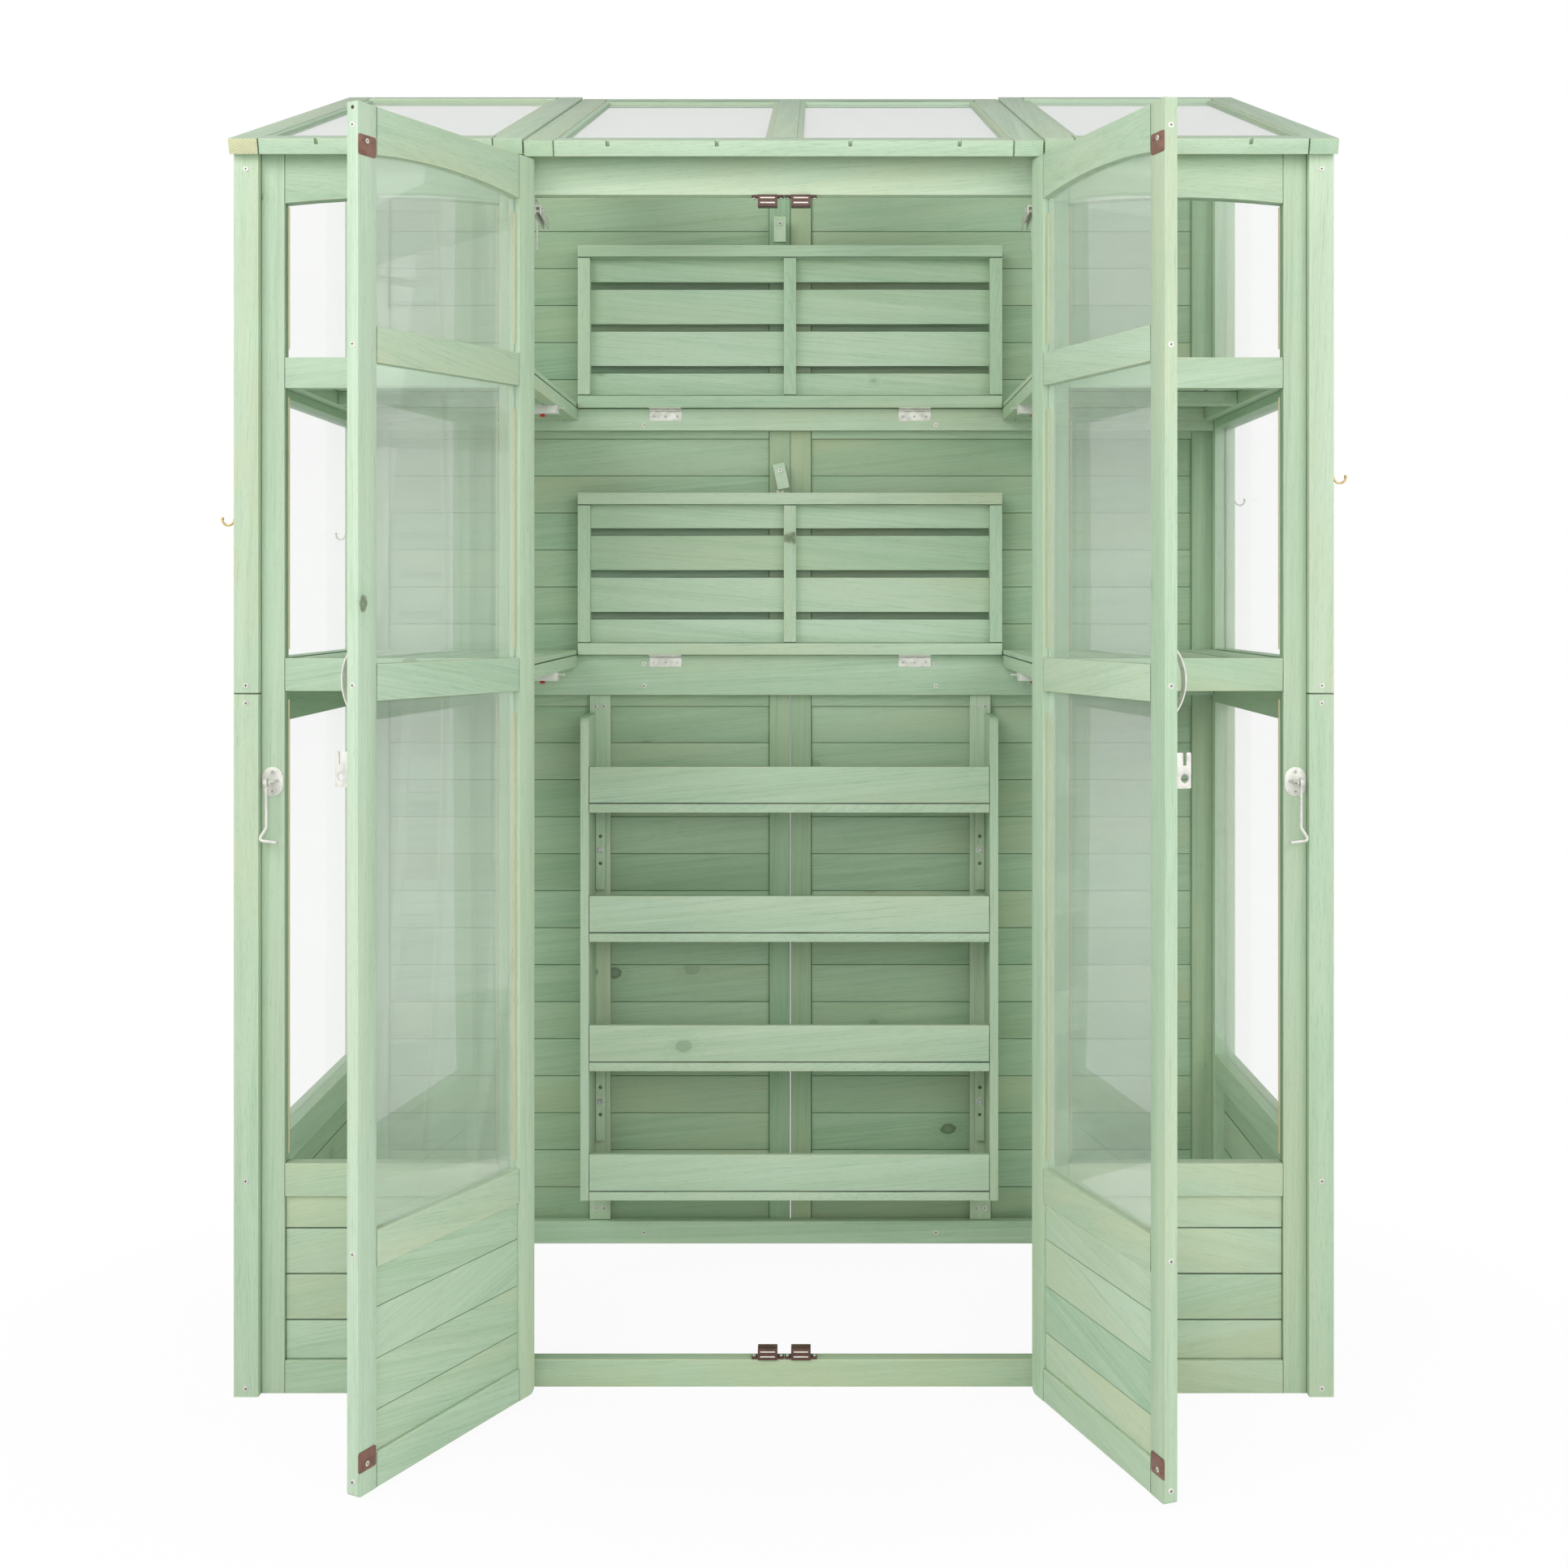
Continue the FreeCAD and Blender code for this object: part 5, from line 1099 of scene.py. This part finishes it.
def make_catch_screws():
    """One screw in each ear of the magnetic catches."""
    spots = []
    for points, middle, low, high in boxed_solids("magnetic_catches"):
        hangs = middle.z > UPPER_HALF
        ear_z = high.z - 4.6 * MM if hangs else low.z + 4.6 * MM
        for x in (low.x + 3.4 * MM, high.x - 3.4 * MM):
            spots.append(((x, middle.y - 2 * MM, ear_z), (0, -EAR_TILT, -1 if hangs else 1)))
    cabinet_screws("catch_ear_screws", spots, 2.3, 0.9, 22)


def make_plate_screws():
    """A screw above and below the eye on each hook plate."""
    spots = []
    for points, middle, low, high in boxed_solids("hook_eyes"):
        for step in (-1, 1):
            z = middle.z + step * PLATE_SCREW_PITCH
            spots.append(((middle.x, high.y - 2.4 * MM, z), FRONT))
    cabinet_screws("hook_plate_screws", spots, 3.1, 0.9, 23)


def make_roof_beads():
    """Glazing beads along the four edges of each roof pane."""
    inset = 4.5 * MM
    up = Vector((0, -math.sin(ROOF_SLOPE), math.cos(ROOF_SLOPE)))
    back = Vector((0, math.cos(ROOF_SLOPE), math.sin(ROOF_SLOPE)))
    for node_name in ("roof_glazing", "vent_glazing"):
        runs = []
        for points, middle, low, high in boxed_solids(node_name):
            top = middle + up * (max((point - middle).dot(up) for point in points) + 2 * MM)
            long = max((point - middle).dot(back) for point in points)
            wide = (high.x - low.x) / 2
            for hand in (-1, 1):
                side = top + ACROSS * hand * (wide - inset)
                runs.append((side - back * long, side + back * long, up))
            for end in (-1, 1):
                rail = top + back * end * (long - inset)
                half = ACROSS * (wide - 2 * inset)
                runs.append((rail - half, rail + half, up))
        fasten(lath_set(node_name + "_beads", runs, 9, 4, "frame_wood", 41), node_name)


REBATE_INSET = 4.2 * MM
REBATE_FACE = 1.2 * MM
REBATE_END = 12 * MM
DOOR_REBATE_HEAD = 30 * MM


def make_window_edges():
    """Raw rebate edges that show as thin lines on both sides of the front panes."""
    runs = []
    for points, middle, low, high in boxed_solids("wall_glazing"):
        if high.y > FRONT_PANES_Y:
            continue
        face = low.y - REBATE_FACE
        for x in (low.x + REBATE_INSET, high.x - REBATE_INSET):
            runs.append(((x, face, low.z + REBATE_END), (x, face, high.z - REBATE_END), FRONT))
    piece = lath_set("window_rebate_edges", runs, 1.6, 2.0, "raw_edge_wood", 43)
    fasten(piece, "wall_glazing")


# Small pieces on the doors, whose hinge lines stand at plus and minus HINGE_X

HINGE_X = 0.357
HINGE_Y = -0.036
# Where each open door points from its hinge line, in degrees from +X
DOOR_TURNS = {"left": -118, "right": -70}
EDGE_SCREW_HEIGHTS = {
    "left": (1.659, 1.395, 0.984, 0.299, 0.025),
    "right": (1.654, 1.392, 0.984, 0.297, 0.023),
}
BORE_HEIGHT = 1.68


class OpenDoor:
    """One door as it stands open, measured from its hinge line along it and out of its inner face."""

    def __init__(self, side):
        turn = math.radians(DOOR_TURNS[side])
        hand = 1 if side == "left" else -1
        self.hinge = Vector((-HINGE_X * hand, HINGE_Y, 0))
        self.along = Vector((math.cos(turn), math.sin(turn), 0))
        self.inner = Vector((-self.along.y, self.along.x, 0)) * hand
        corners = [vertex.co for vertex in frame["nodes"]["door_frame_" + side].data.vertices]
        self.free_edge = self.span(corners, self.along)[1]
        self.core = sum(self.span(corners, self.inner)) / 2

    def span(self, points, way):
        """How near and how far the points lie from the hinge line."""
        distances = [(point - self.hinge).dot(way) for point in points]
        return min(distances), max(distances)

    def spot(self, distance, depth, height):
        place = self.hinge + self.along * distance + self.inner * depth
        return Vector((place.x, place.y, height))


def make_door_rebate_edges():
    """Raw rebate edges on the doors' inner faces, beside each pane."""
    for side in SIDES:
        door = OpenDoor(side)
        runs = []
        for points, middle, low, high in boxed_solids("door_glazing_" + side):
            near, far = door.span(points, door.along)
            face = door.span(points, door.inner)[1] + REBATE_FACE
            for distance in (near + REBATE_INSET, far - REBATE_INSET):
                foot = door.spot(distance, face, low.z + REBATE_END)
                head = door.spot(distance, face, high.z - DOOR_REBATE_HEAD)
                runs.append((foot, head, door.inner))
        piece = lath_set("door_rebate_edges_" + side, runs, 1.2, 2.0, "raw_edge_wood", 47)
        fasten(piece, "door_frame_" + side)


def make_door_hole():
    """The dark bore near the top of the left door's free edge."""
    door = OpenDoor("left")
    rim = [(0, 0), (0, 2.6 * MM), (0.6 * MM, 2.3 * MM), (0.6 * MM, 0)]
    shape = Shape("door_edge_bore")
    start = door.spot(door.free_edge - 0.4 * MM, door.core, BORE_HEIGHT)
    shape.add(turned(rim, start, door.along), "hole_shade")
    fasten(shape.build(), "door_frame_left")


def make_strike_screws():
    """One screw and two spare holes in each strike plate on the doors' inner faces."""
    for side in SIDES:
        door = OpenDoor(side)
        screws, holes = [], []
        for points, middle, low, high in boxed_solids("strike_plates_" + side):
            face = door.span(points, door.inner)[1] - 0.1 * MM
            centre = sum(door.span(points, door.along)) / 2
            height = high.z - 6.6 * MM if middle.z > UPPER_HALF else low.z + 7.6 * MM
            screws.append((door.spot(centre, face, height), door.inner))
            for step in (-8.5 * MM, 8.5 * MM):
                holes.append((door.spot(centre + step, face, height - 1.2 * MM), door.inner))
        screw_piece = screw_set("strike_screws_" + side, screws, 3.4, 0.3, 31)
        fasten(screw_piece, "door_frame_" + side)
        hole_piece = screw_set("strike_holes_" + side, holes, 1.3, 0.15, 31, finish="hole_shade")
        fasten(hole_piece, "door_frame_" + side)


def make_door_screws():
    """Screws in the doors' free edges."""
    for side in SIDES:
        door = OpenDoor(side)
        reach = door.free_edge - 0.2 * MM
        spots = [(door.spot(reach, door.core, height), door.along) for height in EDGE_SCREW_HEIGHTS[side]]
        piece = screw_set("door_edge_screws_" + side, spots, 4.0, 0.9, 11)
        fasten(piece, "door_frame_" + side)


make_timber()
make_fittings()
finish_sheets()
make_door_rebate_edges()
make_door_hole()
make_hinge_screws()
make_catch_screws()
make_plate_screws()
make_strike_screws()
make_roof_beads()
make_window_edges()
make_frame_screws()
make_door_screws()


# Studio

FLOOR_REACH = 14.0
AMBIENT = 0.19
WHITE = (1, 1, 1, 1)


def make_floor():
    """A matt white floor that takes shadows near the greenhouse and fades to plain white."""
    signs = ((-1, -1), (1, -1), (1, 1), (-1, 1))
    corners = [(x * FLOOR_REACH, y * FLOOR_REACH, 0) for x, y in signs]
    mesh = bpy.data.meshes.new("studio_floor")
    mesh.from_pydata(corners, [], [(0, 1, 2, 3)])
    floor = link_piece("studio_floor", mesh)
    finish = bpy.data.materials.new("studio_floor")
    finish.use_nodes = True
    finish.node_tree.nodes.clear()
    bench = Bench(finish.node_tree)
    matt = bench.put("ShaderNodeBsdfDiffuse", {"Color": (0.9, 0.9, 0.9, 1)})
    glow = bench.put("ShaderNodeEmission", {"Color": WHITE, "Strength": 1.0})
    place = bench.put("ShaderNodeTexCoord").outputs["Object"]
    centred = bench.vectors("SUBTRACT", place, (0, 0.15, 0))
    distance = bench.length(bench.vectors("MULTIPLY", centred, (0.85, 1.1, 1)))
    far = bench.ramp(distance, 0.3, 1.25, 0.92, 1.0)
    shaders = {"Fac": bench.times(bench.seen(), far), 1: matt.outputs[0], 2: glow.outputs[0]}
    mixed = bench.put("ShaderNodeMixShader", shaders)
    bench.put("ShaderNodeOutputMaterial", {"Surface": mixed.outputs[0]})
    mesh.materials.append(finish)


def make_world():
    """Plain white to the eye, dim as a light."""
    world = bpy.data.worlds.new("studio_air")
    bpy.context.scene.world = world
    world.use_nodes = True
    world.node_tree.nodes.clear()
    bench = Bench(world.node_tree)
    strength = bench.ramp(bench.seen(), 0.0, 1.0, AMBIENT, 1.0)
    air = bench.put("ShaderNodeBackground", {"Color": WHITE, "Strength": strength})
    bench.put("ShaderNodeOutputWorld", {"Surface": air.outputs[0]})


def soft_lamp(name, at, towards, size, power):
    lamp = bpy.data.lights.new(name, "AREA")
    lamp.shape = "RECTANGLE"
    lamp.size, lamp.size_y = size
    lamp.energy = power
    holder = link_piece(name, lamp)
    holder.location = at
    holder.rotation_euler = (Vector(towards) - Vector(at)).to_track_quat("-Z", "Y").to_euler()
    holder.visible_camera = False


def make_camera():
    lens = bpy.data.cameras.new("photo_camera")
    lens.sensor_width = 36
    lens.lens = 44.53
    lens.shift_x = -0.0207
    lens.shift_y = -0.118
    lens.clip_start = 0.05
    holder = link_piece("photo_camera", lens)
    holder.location = (0.0445, -2.689, 1.088)
    holder.rotation_euler = (math.radians(90), 0, 0)
    bpy.context.scene.camera = holder


make_floor()
make_world()
soft_lamp("key_lamp", (-2.2, -2.9, 3.3), (0, 0.1, 0.9), (2.6, 2.6), 84)
soft_lamp("fill_lamp", (2.4, -3.2, 2.4), (0, 0.2, 0.9), (2.4, 2.4), 58)
soft_lamp("front_lamp", (0.1, -4.6, 1.5), (0, 0.2, 0.9), (2.6, 1.8), 44)
soft_lamp("left_lamp", (-3.4, 0.2, 1.9), (0, 0.2, 1.0), (2.2, 1.8), 34)
soft_lamp("right_lamp", (3.4, 0.2, 1.9), (0, 0.2, 1.0), (2.2, 1.8), 30)
make_camera()
bpy.context.scene.view_settings.view_transform = "Standard"
